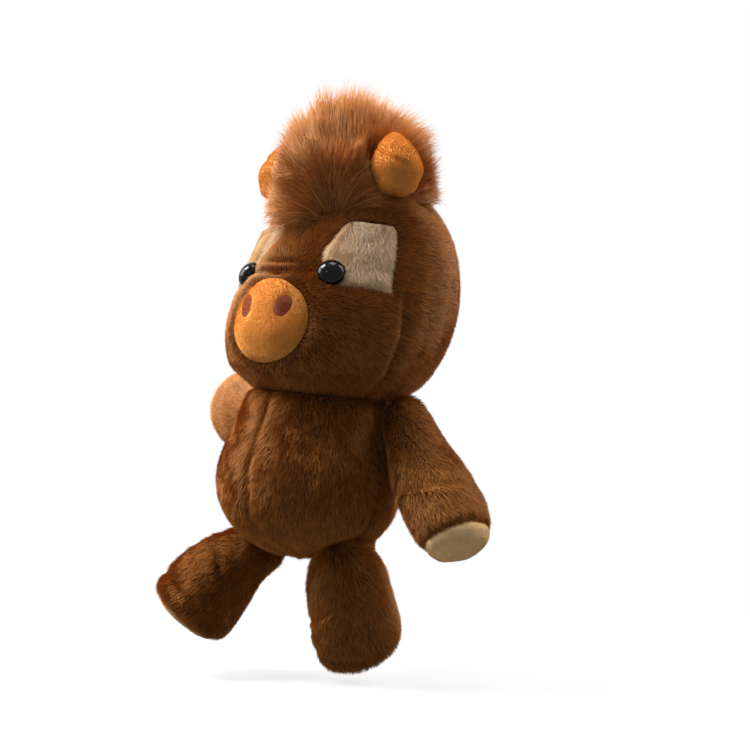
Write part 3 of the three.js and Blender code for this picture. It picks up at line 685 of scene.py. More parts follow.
def strand_maker():
    """Geometry nodes that set tapered strands on a cover, combed by the cover's attributes."""
    if "strand_maker" in bpy.data.node_groups:
        return bpy.data.node_groups["strand_maker"]
    tree = bpy.data.node_groups.new("strand_maker", "GeometryNodeTree")
    sockets = (
        ("Cover", "NodeSocketGeometry", None),
        ("Count", "NodeSocketFloat", 1e6),
        ("Width", "NodeSocketFloat", 0.2 * MM),
        ("Steps", "NodeSocketInt", 1),
        ("Shortest", "NodeSocketFloat", 0.8),
        ("Longest", "NodeSocketFloat", 1.1),
        ("Stray", "NodeSocketFloat", 0.1),
        ("Clump size", "NodeSocketFloat", 200.0),
        ("Clump", "NodeSocketFloat", 0.2),
        ("Curl", "NodeSocketFloat", 0.0),
        ("Seed", "NodeSocketInt", 0),
        ("Finish", "NodeSocketMaterial", None),
    )
    for name, kind, default in sockets:
        socket = tree.interface.new_socket(name=name, in_out="INPUT", socket_type=kind)
        if default is not None:
            socket.default_value = default
    tree.interface.new_socket(name="Strands", in_out="OUTPUT", socket_type="NodeSocketGeometry")
    given = tree.nodes.new("NodeGroupInput")
    result = tree.nodes.new("NodeGroupOutput")

    def node(kind, **settings):
        made = tree.nodes.new(kind)
        for key, value in settings.items():
            setattr(made, key, value)
        return made

    def pin(made, key):
        return next(s for s in made.inputs if s.identifier == key)

    def out(made, key):
        return next(s for s in made.outputs if s.identifier == key)

    def feed(made, **values):
        for key, value in values.items():
            if isinstance(value, bpy.types.NodeSocket):
                tree.links.new(value, pin(made, key))
            else:
                pin(made, key).default_value = value
        return made

    def attribute(name, kind):
        return out(feed(node("GeometryNodeInputNamedAttribute", data_type=kind), Name=name), "Attribute")

    def keep(geometry, name, kind, domain, value):
        made = node("GeometryNodeStoreNamedAttribute", data_type=kind, domain=domain)
        return out(feed(made, Geometry=geometry, Name=name, Value=value), "Geometry")

    def add(first, second):
        made = node("ShaderNodeVectorMath", operation="ADD")
        return out(feed(made, Vector=first, Vector_001=second), "Vector")

    def scale(vector, by):
        return out(feed(node("ShaderNodeVectorMath", operation="SCALE"), Vector=vector, Scale=by), "Vector")

    def maths(operation, first, second=0.0):
        return out(feed(node("ShaderNodeMath", operation=operation), Value=first, Value_001=second), "Value")

    def centred_noise(size):
        grain = feed(node("ShaderNodeTexNoise"), Scale=size, Detail=1.0, Roughness=0.5)
        return add(out(grain, "Color"), (-0.5, -0.5, -0.5))

    spread = feed(
        node("GeometryNodeDistributePointsOnFaces", distribute_method="RANDOM"),
        Mesh=given.outputs["Cover"], Density=given.outputs["Count"], Seed=given.outputs["Seed"])
    points = out(spread, "Points")
    total = feed(node("GeometryNodeAttributeDomainSize", component="POINTCLOUD"), Geometry=points)
    across_count = maths("CEIL", maths("SQRT", total.outputs["Point Count"]))
    points = keep(points, "cell", "FLOAT", "POINT", out(node("GeometryNodeInputIndex"), "Index"))
    luck = feed(node("FunctionNodeRandomValue", data_type="FLOAT"), Seed=given.outputs["Seed"])
    cloud = feed(node("ShaderNodeTexNoise"), Scale=given.outputs["Clump size"], Detail=2.0)
    own_tint = maths("MULTIPLY", out(luck, "Value_001"), 0.5)
    shared_tint = maths("MULTIPLY", out(cloud, "Fac"), 0.5)
    tint = maths("ADD", own_tint, shared_tint)
    points = keep(points, "tint", "FLOAT", "POINT", tint)
    stray = feed(
        node("FunctionNodeRandomValue", data_type="FLOAT_VECTOR"),
        Min=(-1.0, -1.0, -1.0), Max=(1.0, 1.0, 1.0), Seed=given.outputs["Seed"])
    way = add(attribute("grow", "FLOAT_VECTOR"), scale(out(stray, "Value"), given.outputs["Stray"]))
    way = add(way, scale(centred_noise(given.outputs["Clump size"]), given.outputs["Clump"]))
    turn = feed(node("FunctionNodeAlignRotationToVector", axis="Z"), Vector=way)
    share = feed(
        node("FunctionNodeRandomValue", data_type="FLOAT"),
        Min_001=given.outputs["Shortest"], Max_001=given.outputs["Longest"], Seed=given.outputs["Seed"])
    length = maths("MULTIPLY", attribute("stretch", "FLOAT"), out(share, "Value_001"))
    girth = given.outputs["Width"]
    size = out(feed(node("ShaderNodeCombineXYZ"), X=girth, Y=girth, Z=length), "Vector")
    taper = feed(
        node("GeometryNodeMeshCone", fill_type="NONE"), Vertices=3, **{
            "Side Segments": given.outputs["Steps"], "Radius Top": 0.0, "Radius Bottom": 1.0, "Depth": 1.0})
    axes = node("ShaderNodeSeparateXYZ")
    tree.links.new(out(node("GeometryNodeInputPosition"), "Position"), axes.inputs[0])
    strand = keep(out(taper, "Mesh"), "along", "FLOAT", "POINT", axes.outputs["Z"])
    side = maths("ADD", maths("MULTIPLY", axes.outputs["X"], 0.35), 0.5)
    strand = keep(strand, "across", "FLOAT", "POINT", side)
    planted = feed(
        node("GeometryNodeInstanceOnPoints"),
        Points=points, Instance=strand, Rotation=out(turn, "Rotation"), Scale=size)
    real = out(feed(node("GeometryNodeRealizeInstances"), Geometry=out(planted, "Instances")), "Geometry")
    along = attribute("along", "FLOAT")
    hang = scale(attribute("droop", "FLOAT_VECTOR"), maths("POWER", along, 2.0))
    curl = scale(centred_noise(given.outputs["Clump size"]), maths("MULTIPLY", along, given.outputs["Curl"]))
    bent = out(feed(node("GeometryNodeSetPosition"), Geometry=real, Offset=add(hang, curl)), "Geometry")
    cell = attribute("cell", "FLOAT")
    column = maths("MODULO", cell, across_count)
    row = maths("FLOOR", maths("DIVIDE", cell, across_count))
    height = maths("ADD", maths("MULTIPLY", along, 0.8), 0.1)
    u = maths("DIVIDE", maths("ADD", column, attribute("across", "FLOAT")), across_count)
    v = maths("DIVIDE", maths("ADD", row, height), across_count)
    layout = out(feed(node("ShaderNodeCombineXYZ"), X=u, Y=v), "Vector")
    laid = keep(bent, "OFBake", "FLOAT2", "CORNER", layout)
    shown = feed(node("GeometryNodeSetMaterial"), Geometry=laid, Material=given.outputs["Finish"])
    tree.links.new(out(shown, "Geometry"), result.inputs["Strands"])
    return tree


def edge_gaps(mesh):
    """How far each vertex of an open cover lies from the cover's sewn edge."""
    uses = {}
    for face in mesh.polygons:
        for key in face.edge_keys:
            uses[key] = uses.get(key, 0) + 1
    edge = sorted({index for key, count in uses.items() if count == 1 for index in key})
    if not edge:
        return [1.0] * len(mesh.vertices)
    near = KDTree(len(edge))
    for index in edge:
        near.insert(mesh.vertices[index].co, index)
    near.balance()
    return [near.find(vert.co)[2] for vert in mesh.vertices]


# Strands get shorter towards a seam, within this many millimetres of it, but not round the neck.
PARTING_WIDTH = 4
NECK_REACH = 46


def comb(mesh, grow, stretch, droop=None, parting=0.55):
    """Stores on a cover which way its strands grow, how long they are and how far their tips hang."""
    # Noise vectors start from the clock unless a seed is set.
    noise.seed_set(bpy.context.scene.cow_sizes.seed)
    ways, lengths, hangs = [], [], []
    for vert, gap in zip(mesh.vertices, edge_gaps(mesh)):
        ways.extend(grow(vert.co, vert.normal))
        by_neck = (vert.co - NECK).length < NECK_REACH * MM
        full = 1.0 if by_neck else min(1.0, gap / (PARTING_WIDTH * MM))
        share = parting + (1.0 - parting) * full
        lengths.append(stretch(vert.co, vert.normal) * share)
        hangs.extend(droop(vert.co, vert.normal) if droop else (0.0, 0.0, 0.0))
    mesh.attributes.new("grow", "FLOAT_VECTOR", "POINT").data.foreach_set("vector", ways)
    mesh.attributes.new("stretch", "FLOAT", "POINT").data.foreach_set("value", lengths)
    mesh.attributes.new("droop", "FLOAT_VECTOR", "POINT").data.foreach_set("vector", hangs)


def part_of(mesh, name, wanted):
    """A copy of a cover with only the faces whose middle is wanted."""
    bm = bmesh_of(mesh)
    spare = [face for face in bm.faces if not wanted(face.calc_center_median())]
    bmesh.ops.delete(bm, geom=spare, context="FACES")
    return new_mesh(bm, name)


def grow_strands(name, covers, body, finish, count, width, steps=1, shortest=0.75, longest=1.15,
                 stray=0.12, clump_size=160.0, clump=0.38, curl=0.0, seed=0):
    """Grows strands on combed cover meshes, as a piece of their own."""
    grower = add_piece(name + "_ground", new_mesh(bmesh_of(*covers), name + "_ground"))
    maker = strand_maker()
    planted = grower.modifiers.new("strands", "NODES")
    planted.node_group = maker
    thin = 1.0
    values = {
        "Count": count * 1e6 * thin, "Width": width, "Steps": steps, "Shortest": shortest,
        "Longest": longest, "Stray": stray, "Clump size": clump_size, "Clump": clump, "Curl": curl,
        "Seed": bpy.context.scene.cow_sizes.seed + seed, "Finish": finish_named(finish),
    }
    for item in maker.interface.items_tree:
        if item.in_out == "INPUT" and item.name in values:
            planted[item.identifier] = values[item.name]
    mesh = final_mesh(grower)
    drop_piece(grower)
    mesh.name = name
    for spare in ("grow", "stretch", "droop", "cell", "across"):
        if spare in mesh.attributes:
            mesh.attributes.remove(mesh.attributes[spare])
    piece = add_piece(name, mesh)
    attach(piece, body)
    return piece


def on_surface(vector, normal):
    """The part of a direction that lies along a surface."""
    flat = vector - normal * vector.dot(normal)
    return flat.normalized() if flat.length > 1e-5 else normal.orthogonal().normalized()


def laid_pile(lead, normal, place, lift, sway=0.4):
    """Direction of pile that lies along a lead, swayed a little from place to place."""
    drift = noise.noise_vector(place * 55.0) * sway
    lying = on_surface(lead + drift, normal)
    return lying * math.cos(lift) + normal * math.sin(lift)


def uneven_length(place):
    """Length of the brown pile, a little uneven over the toy."""
    return bpy.context.scene.cow_sizes.pile_length * (1.0 + 0.12 * noise.noise(place * 40.0))


def comb_pile(mesh, lead, length, lift, sway=0.4, hang=None, parting=0.55):
    """Combs pile that lies along a lead; lead and length are fixed, or functions of a place."""
    def grow(place, normal):
        return laid_pile(lead(place) if callable(lead) else lead, normal, place, lift, sway)

    def stretch(place, normal):
        return length(place) if callable(length) else length

    comb(mesh, grow, stretch, hang, parting)


def grow_brown(name, covers, body, seed):
    """Grows the toy's brown pile on combed covers."""
    sizes = bpy.context.scene.cow_sizes
    grow_strands(name, covers, body, "brown_pile",
                 sizes.pile_count, sizes.pile_width, seed=seed)


# Short naps: lift in degrees, share of the nap's length, strands on a square millimetre, their radius.
NAPS = {
    "muzzle": dict(
        slot="orange_pile", finish="orange_nap", lift=60, sway=0.8, share=1.0,
        count=4.0, width=0.2, clump_size=400.0),
    "nostril": dict(
        slot="red_pile", finish="red_nap", lift=60, sway=0.6, share=0.8,
        count=6.0, width=0.16, clump_size=500.0),
    "pad": dict(
        slot="cream_pile", finish="tan_nap", lift=55, sway=0.8, share=0.5,
        count=5.0, width=0.14, clump_size=500.0),
    "horn": dict(
        slot="orange_pile", finish="orange_nap", lift=60, sway=0.8, share=0.7,
        count=4.0, width=0.2, clump_size=400.0),
}


def plant_nap(name, mesh, body, kind, lead, seed):
    """Combs and grows one of the short naps."""
    nap = NAPS[kind]
    length = bpy.context.scene.cow_sizes.nap_length * nap["share"]
    comb_pile(mesh, lead, length, math.radians(nap["lift"]), nap["sway"])
    grow_strands(name, [mesh], body, nap["finish"], nap["count"], nap["width"] * MM,
                 clump_size=nap["clump_size"], seed=seed)


# The toy's pieces, one operator for each group. Sizes named here are in millimetres, unless a comment
# names another unit.


def body_cover(name, panels, core, body, grain, rounds, shape=None, open_at=(), remark=None,
               seam=1.0, flat=()):
    """Makes the covers of one body and gives their open meshes, keyed by panel.

    open_at names solids that the form runs on into, but that another body covers. remark may move faces
    from one panel to another, where the sewn line differs from the solid's. flat names panels that are
    stitched on without a dip.
    """
    sizes = bpy.context.scene.cow_sizes
    around = panels + list(open_at)
    trees = [solid_tree(panel) for panel in around]
    form = stuffed_form(name, around + core, grain, rounds)
    level = [around.index(panel) for panel in flat]
    puff(form, trees, sizes.swell, level)
    finer(form)
    bm = bmesh_of(form.data)
    mark_panels(bm, trees)
    if remark:
        remark(bm, around)
    if len(around) > 1:
        straighten_seams(bm, rounds=12)
    pull_seams(bm, sizes.seam_depth * seam, sizes.seam_width, level)
    if shape:
        bm.normal_update()
        shape(bm)
    bm.to_mesh(form.data)
    bm.free()
    cut = cut_panels(form, panels)
    drop_piece(form)
    for panel, mesh in cut.items():
        sewn_cover(panel, mesh, body)
    return cut


def inward_on(side):
    """Direction from one side of the toy to its middle."""
    return TOY_LEFT * (-1 if side == "left" else 1)


def fold_form(bm, start, axis, place, facing, depth, width, slant=0.0):
    """Presses a soft crease across a limb, with a ridge beside it, on the side that faces a direction."""
    across = axis.cross(facing).normalized()
    for vert in bm.verts:
        side = max(0.0, vert.normal.dot(facing))
        if side == 0.0:
            continue
        away = vert.co - start
        along = away.dot(axis) + away.dot(across) * slant
        press = bell(along - place, width)
        ridge = bell(along - place - width * 2, width)
        vert.co -= vert.normal * depth * side * (press - 0.45 * ridge)


SHOULDER_SPAN = 20
TORSO_SHOULDER_LIFT = 5
ARM_SHOULDER_LIFT = 7.5


class COW_OT_torso(bpy.types.Operator):
    """Makes the torso's covers and their pile"""

    bl_idname = "cow.torso"
    bl_label = "Torso"

    def execute(self, context):
        sizes = context.scene.cow_sizes
        roots = [Vector(HINGES[side + "_arm_swing"]["pos_m"]) for side in SIDES]

        def raise_shoulders(bm):
            for vert in bm.verts:
                near = sum(bell((vert.co - root).length, SHOULDER_SPAN * MM) for root in roots)
                vert.co += TOY_UP * TORSO_SHOULDER_LIFT * MM * near

        cut = body_cover(
            "torso_form", TORSO_PANELS, ["torso_stuffing"], "torso", grain=3.6 * MM, rounds=10,
            shape=raise_shoulders, open_at=["neck_ball"], seam=0.6)
        for half, seed in (("front", 1), ("back", 2)):
            covers = [cut["torso_%s_%s" % (half, side)] for side in SIDES]
            for mesh in covers:
                comb_pile(mesh, -TOY_UP, uneven_length, sizes.pile_lift, parting=0.8)
            grow_brown("torso_%s_pile" % half, covers, "torso", seed)
        return {"FINISHED"}


NECK_SINK = 1.6
NECK_BAND = 14


class COW_OT_neck(bpy.types.Operator):
    """Makes the neck's cover and pile"""

    bl_idname = "cow.neck"
    bl_label = "Neck"

    def execute(self, context):
        sizes = context.scene.cow_sizes

        def sink(bm):
            for vert in bm.verts:
                vert.co -= (vert.co - NECK).normalized() * NECK_SINK * MM

        def in_band(place):
            return abs((place - NECK).dot(TOY_UP)) < NECK_BAND * MM

        cut = body_cover("neck_form", ["neck_ball"], [], "neck", grain=5.0 * MM, rounds=2, shape=sink)
        band = part_of(cut["neck_ball"], "neck_band", in_band)
        comb_pile(band, -TOY_UP, sizes.pile_length * 0.5, sizes.pile_lift)
        grow_brown("neck_pile", [band], "neck", seed=60)
        return {"FINISHED"}


# Soft folds over the bridge of the nose: height above the eyes, width, and share of the full depth.
BRIDGE_CREASES = ((-1, 1.7, 1.0), (5, 1.9, 0.7))
BRIDGE_RIDGES = ((2, 1.7, 1.0), (-5, 2, 1.0))
BRIDGE_DEPTH = 10
CREASE_DEPTH = 2.0
RIDGE_HEIGHT = 0.9
# The left patch has a slanted upper corner, from a height above the eye and a reach inwards of it.
PATCH_CORNER_HEIGHT = 12.7
PATCH_CORNER_REACH = 6
PATCH_SLANT = 1.86
PATCH_BACK_EDGE = 31
# The face's pile is short at the muzzle, and full from a distance on.
SHORT_PILE_END = 25
SHORT_PILE_FADE = 30
# Under the chin, tips of pile hang over the neck.
CHIN_REACH = 34
CHIN_FADE = 12
CHIN_HANG = 3.5


class COW_OT_head(bpy.types.Operator):
    """Makes the head's covers, muzzle and patches, and their pile"""

    bl_idname = "cow.head"
    bl_label = "Head"

    def execute(self, context):
        sizes = context.scene.cow_sizes
        left_eye, right_eye = [middle_of("eye_" + side) for side in SIDES]
        brow = (left_eye + right_eye) / 2
        span = (left_eye - right_eye).length / 2
        nose = middle_of("muzzle_patch")

        def bridge_folds(bm):
            for vert in bm.verts:
                away = vert.co - brow
                if away.dot(TOY_FRONT) < -BRIDGE_DEPTH * MM:
                    continue
                window = bell(away.dot(TOY_LEFT), span * 0.62)
                height = away.dot(TOY_UP)
                press, swell = [
                    sum(bell(height - at * MM, width * MM) * share for at, width, share in folds)
                    for folds in (BRIDGE_CREASES, BRIDGE_RIDGES)
                ]
                vert.co -= vert.normal * window * (press * CREASE_DEPTH - swell * RIDGE_HEIGHT) * MM

        def slant_patch(bm, around):
            patch = around.index("eye_patch_left")
            outward = (TOY_LEFT * 0.77 - TOY_FRONT * 0.64).normalized()
            for face in bm.faces:
                if face.material_index != patch:
                    continue
                away = face.calc_center_median() - left_eye
                inside = away.dot(outward) + PATCH_CORNER_REACH * MM
                if away.dot(TOY_UP) > PATCH_CORNER_HEIGHT * MM + inside * PATCH_SLANT:
                    face.material_index = around.index("forehead_panel")
                elif away.dot(outward) > PATCH_BACK_EDGE * MM:
                    face.material_index = around.index("head_side_left")

        def face_lead(place):
            away = (place - nose).normalized()
            return away - TOY_UP * 0.45

        def face_length(place):
            full = clamp(((place - nose).length - SHORT_PILE_END * MM) / (SHORT_PILE_FADE * MM))
            return uneven_length(place) * (0.55 + 0.45 * full)

        def chin_hang(place, normal):
            close = 1.0 - ((place - NECK).length - CHIN_REACH * MM) / (CHIN_FADE * MM)
            return -TOY_UP * CHIN_HANG * MM * clamp(close)

        cut = body_cover(
            "head_form", HEAD_PANELS, ["head_stuffing"], "head", grain=3.0 * MM, rounds=9,
            shape=bridge_folds, open_at=["neck_ball"], remark=slant_patch, seam=0.8,
            flat=["nostril_left", "nostril_right"])
        groups = (
            ("face_pile", ["forehead_panel", "cheek_left", "cheek_right"], 3),
            ("head_left_pile", ["head_side_left"], 4),
            ("head_right_pile", ["head_side_right"], 5),
        )
        for name, members, seed in groups:
            covers = [cut[panel] for panel in members]
            for mesh in covers:
                comb_pile(mesh, face_lead, face_length, sizes.pile_lift, hang=chin_hang, parting=0.8)
            grow_brown(name, covers, "head", seed)
        for side, seed in zip(SIDES, (6, 7)):
            mesh = cut["eye_patch_" + side]
            lead = TOY_UP * -1.0 - TOY_FRONT * 0.2
            comb_pile(mesh, lead, uneven_length, sizes.pile_lift, sway=0.35, parting=0.9)
            grow_strands("eye_patch_pile_" + side, [mesh], "head", "cream_pile",
                         sizes.pile_count * 1.2, sizes.pile_width, seed=seed)
        plant_nap("muzzle_nap", cut["muzzle_patch"], "head", "muzzle", -TOY_UP, seed=8)
        for side, seed in zip(SIDES, (9, 10)):
            plant_nap("nostril_nap_" + side, cut["nostril_" + side], "head", "nostril", -TOY_UP, seed)
        return {"FINISHED"}


ARM_FULLNESS = 3
THIGH_FULLNESS = 4.5
LEG_BEND = 3
PAD_RISE = 2.5
# Creases across the limbs: share of the limb's length, depth, width and slant.
ELBOW_CREASE = (0.55, 1.0, 2.4, 0.5)
LEG_CREASES = ((0.32, 1.0, 2.0, 0.6), (0.52, 0.8, 2.8, 0.24), (0.84, 1.4, 2.6, 0.0))


class COW_OT_limbs(bpy.types.Operator):
    """Makes the covers of both arms and legs, their pads and their pile"""

    bl_idname = "cow.limbs"
    bl_label = "Arms and legs"

    def execute(self, context):
        limbs = [(limb, side) for limb in ("arm", "leg") for side in SIDES]
        for seed, (limb, side) in zip(range(20, 28, 2), limbs):
            self.make_limb(context.scene.cow_sizes, limb, side, seed)
        return {"FINISHED"}

    def make_limb(self, sizes, limb, side, seed):
        body = side + "_" + limb
        skin, pad = limb + "_skin_" + side, {"arm": "paw_pad_", "leg": "foot_pad_"}[limb] + side
        root = Vector(HINGES[body + "_swing"]["pos_m"])
        lead = (middle_of(pad) - root).normalized()
        far = (middle_of(pad) - root).length

        def crease(bm, share, depth, width, slant):
            fold_form(bm, root, lead, far * share, TOY_FRONT, depth * MM, width * MM, slant)

        def soften_arm(bm):
            for vert in bm.verts:
                away = vert.co - root
                along = away.dot(lead) / far
                inside = max(0.0, vert.normal.dot(inward_on(side)))
                vert.co += TOY_UP * ARM_SHOULDER_LIFT * MM * bell(away.length, SHOULDER_SPAN * MM)
                vert.co += vert.normal * inside * ARM_FULLNESS * MM * bell(along - 0.5, 0.35)
            if side == "left":
                crease(bm, *ELBOW_CREASE)

        def soften_leg(bm):
            for vert in bm.verts:
                away = vert.co - root
                along = away.dot(lead) / far
                if side == "left":
                    thick = away - lead * away.dot(lead)
                    vert.co += thick.normalized() * THIGH_FULLNESS * MM * bell(along - 0.15, 0.3)
                else:
                    vert.co += UP * LEG_BEND * MM * (bell(along - 0.25, 0.3) - bell(along - 1.0, 0.3))
            for share, depth, width, slant in LEG_CREASES:
                crease(bm, share, depth, width, slant if side == "right" else -slant)

        def widen_pad(bm, around):
            reaches = [(face, face.calc_center_median().dot(lead)) for face in bm.faces]
            edge = min(reach for face, reach in reaches if face.material_index == 1)
            for face, reach in reaches:
                if reach > edge - PAD_RISE * MM:
                    face.material_index = 1

        is_arm = limb == "arm"
        cut = body_cover(
            body + "_form", [skin, pad], [limb + "_stuffing_" + side], body, grain=3.0 * MM, rounds=6,
            shape=soften_arm if is_arm else soften_leg, remark=widen_pad if is_arm else None)
        comb_pile(cut[skin], lead, uneven_length, sizes.pile_lift, parting=1.0)
        grow_brown(body + "_pile", [cut[skin]], body, seed)
        plant_nap(body + "_pad_nap", cut[pad], body, "pad", -TOY_UP, seed + 1)


# The horns narrow and lean inwards above a share of their height, and have one crease, as the limbs have.
HORN_TAPER_START = 0.35
HORN_TAPER = 0.3
HORN_TIP_LEAN = 3
HORN_CREASE = (0.6, 0.9, 1.5, 0.5)


class COW_OT_horns(bpy.types.Operator):
    """Makes the soft horns"""

    bl_idname = "cow.horns"
    bl_label = "Horns"

    def execute(self, context):
        for side, seed in zip(SIDES, (30, 31)):
            horn, body = "horn_" + side, side + "_horn"
            low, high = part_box(horn)
            middle = middle_of(horn)
            tall = high.z - low.z

            def point(bm):
                for vert in bm.verts:
                    above = max(0.0, (vert.co.z - low.z) / tall - HORN_TAPER_START)
                    rise = min(1.0, above / (1 - HORN_TAPER_START))
                    spine = Vector((middle.x, middle.y, vert.co.z))
                    vert.co = spine + (vert.co - spine) * (1.0 - HORN_TAPER * rise ** 2)
                    vert.co += inward_on(side) * HORN_TIP_LEAN * MM * rise
                foot = Vector((middle.x, middle.y, low.z))
                share, depth, width, slant = HORN_CREASE
                fold_form(bm, foot, UP, tall * share, TOY_FRONT, depth * MM, width * MM, slant)

            cut = body_cover(
                body + "_form", [horn], ["horn_stuffing_" + side], body, grain=2.1 * MM, rounds=5,
                shape=point)
            plant_nap(body + "_nap", cut[horn], body, "horn", TOY_UP, seed)
        return {"FINISHED"}


# Points beyond a share of the eye's radius are its rim; the flat back ends at another.
RIM_SHARE = 0.97
BACK_SHARE = 0.9
DOME_STEPS = 14
DOME_SIDES = 40


class COW_OT_eyes(bpy.types.Operator):
    """Makes the domed eyes and finishes their washers"""

    bl_idname = "cow.eyes"
    bl_label = "Eyes"

    def execute(self, context):
        for side in SIDES:
            back = frame["nodes"]["eye_washer_" + side]
            corners = [vert.co for vert in frame["nodes"]["eye_" + side].data.vertices]
            middle = sum(corners, Vector()) / len(corners)
            washer = sum((vert.co for vert in back.data.vertices), Vector()) / len(back.data.vertices)
            axis = (middle - washer).normalized()

            def ahead(place):
                return (place - washer).dot(axis)

            def off_axis(place):
                return ((place - washer) - axis * ahead(place)).length

            wide = max(off_axis(place) for place in corners)
            rim = [ahead(place) for place in corners if off_axis(place) > wide * RIM_SHARE]
            rim_low, rim_high = min(rim), max(rim)
            dome_height = max(ahead(place) for place in corners) - rim_high
            bm = bmesh.new()
            rim_middle = rim_low + (rim_high - rim_low) * 0.5
            outline = [(0.0, rim_low), (wide * BACK_SHARE, rim_low), (wide, rim_middle)]
            for step in range(DOME_STEPS + 1):
                angle = math.pi / 2 * step / DOME_STEPS
                outline.append((wide * math.cos(angle), rim_high + dome_height * math.sin(angle)))
            verts = [bm.verts.new((across, 0.0, height)) for across, height in outline]
            edges = [bm.edges.new(pair) for pair in zip(verts, verts[1:])]
            bmesh.ops.spin(bm, geom=verts + edges, cent=(0, 0, 0), axis=(0, 0, 1), angle=2 * math.pi,
                           steps=DOME_SIDES, use_merge=True, use_duplicate=False)
            bmesh.ops.remove_doubles(bm, verts=bm.verts[:], dist=0.005 * MM)
            bmesh.ops.recalc_face_normals(bm, faces=bm.faces[:])
            turn = axis.to_track_quat("Z", "Y").to_matrix().to_4x4()
            bmesh.ops.transform(bm, matrix=Matrix.Translation(washer) @ turn, verts=bm.verts[:])
            for face in bm.faces:
                face.smooth = True
            dome = add_piece("eye_dome_" + side, new_mesh(bm, "eye_dome_" + side))
            dome.data.materials.append(finish_named("eye_plastic"))
            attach(dome, "head")
            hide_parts("eye_" + side)
            back.data.materials.clear()
            back.data.materials.append(finish_named("washer_plastic"))
        return {"FINISHED"}


# The hair spreads from a point under the crown, swept back from a parting on the left of the forehead.
FOCUS_AHEAD = 4
FOCUS_BELOW = 18
PARTING_AHEAD = 34
PARTING_LEFT = 18
PARTING_BELOW = 40
FRINGE_LEFT = 11
FRINGE_ABOVE = 4
HAIR_SHORTEST = 22
HAIR_LONGEST = 66
HORN_CLEARING = 27
PARTING_SPAN = 40
FRINGE_SPAN = 8
CROWN_REACH = 38
CAP_SHARE = 0.64


class COW_OT_hair(bpy.types.Operator):
    """Makes the long tuft of hair on the head"""

    bl_idname = "cow.hair"
    bl_label = "Hair"

    def execute(self, context):
        sizes = context.scene.cow_sizes
        tuft = solid_tree("hair_tuft")
        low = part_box("hair_tuft")[0]
        crown = middle_of("hair_tuft")
        focus = Vector((crown.x, crown.y - FOCUS_AHEAD * MM, low.z - FOCUS_BELOW * MM))
        parting = crown + TOY_FRONT * PARTING_AHEAD * MM + TOY_LEFT * PARTING_LEFT * MM
        parting -= UP * PARTING_BELOW * MM
        fringe = parting + TOY_LEFT * FRINGE_LEFT * MM + UP * FRINGE_ABOVE * MM
        horns = [middle_of("horn_" + side) for side in SIDES]

        def way(place):
            return (place - focus).normalized()

        def clear_of_horns(place):
            return 1.0 - 0.6 * max(bell((place - horn).length, HORN_CLEARING * MM) for horn in horns)

        def reach(place):
            ahead, far = place, 0.0
            for _ in range(4):
                hit = tuft.ray_cast(ahead, way(place), 0.2)
                if hit[0] is None:
                    break
                far = (hit[0] - place).length
                ahead = hit[0] + way(place) * 0.2 * MM
            return far

        def towards(sign, place):
            return clamp(sign * (place - crown).dot(TOY_FRONT) / (CROWN_REACH * MM))

        def lie(place, normal):
            sweep = on_surface(place - parting, normal)
            drift = noise.noise_vector(place * 45.0) * 0.3
            close = bell((place - parting).length, PARTING_SPAN * MM)
            swept = sweep * 0.85 + way(place) * (0.6 - 0.38 * close) + drift
            fallen = TOY_FRONT * 0.6 + TOY_LEFT * 0.2 - UP * 0.9 + drift
            in_fringe = min(1.0, 1.1 * bell((place - fringe).length, FRINGE_SPAN * MM))
            return swept.lerp(fallen, in_fringe).normalized()

        def length(place, normal):
            rise = max(0.0, normal.dot(UP))
            full = max(HAIR_SHORTEST * MM, min(reach(place) * (1.9 + 0.5 * rise), HAIR_LONGEST * MM))
            full *= 1.0 - 0.1 * towards(-1, place)
            return full * clear_of_horns(place) * (1.0 + 0.15 * noise.noise(place * 60.0))

        def hang(place, normal):
            return -UP * (3 + 5 * towards(1, place) + 5 * towards(-1, place)) * MM

        base = stuffed_form("hair_base", [
            "forehead_panel", "head_side_left", "head_side_right", "eye_patch_left", "eye_patch_right",
            "head_stuffing"], grain=3.4 * MM, rounds=8)
        bm = bmesh_of(base.data)
        drop_piece(base)
        bm.normal_update()
        bare = []
        for face in bm.faces:
            centre = face.calc_center_median()
            hit = tuft.ray_cast(centre - face.normal * 2 * MM, way(centre), 0.2)
            if hit[0] is None or face.normal.dot(UP) < -0.1:
                bare.append(face)
        bmesh.ops.delete(bm, geom=bare, context="FACES")
        # The inner hair is matted, so the cap swells part of the way to the tuft's outside.
        for vert in bm.verts:
            vert.co += way(vert.co) * (0.3 * MM + reach(vert.co) * CAP_SHARE * clear_of_horns(vert.co))
        relax(bm, [vert for vert in bm.verts if not vert.is_boundary], 6)
        bmesh.ops.subdivide_edges(bm, edges=bm.edges[:], cuts=1, use_grid_fill=True)
        for face in bm.faces:
            face.smooth = True
        cap = add_piece("hair_cap", new_mesh(bm, "hair_cap"))
        # The cap's dark colour is painted shade inside the tuft.
        cap.data.materials.append(finish_named("hair_cloth"))
        add_wall(cap)
        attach(cap, "head")

        for name, sign, seed in (("hair_front", 1, 40), ("hair_back", -1, 41)):
            half = part_of(cap.data, name, lambda place: (place - crown).dot(TOY_FRONT) * sign > 0)
            comb(half, lie, length, hang, parting=1.0)
            locks = grow_strands(
                name + "_locks", [half], "head", "hair",
                sizes.hair_count, sizes.hair_width, steps=3, shortest=0.75, longest=1.12, stray=0.13,
                clump_size=110.0, clump=0.42, curl=6 * MM, seed=seed)
            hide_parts("hair_tuft")
        return {"FINISHED"}


TAIL_LOCK_LENGTH = 12
TAIL_CORE_SHARE = 0.55


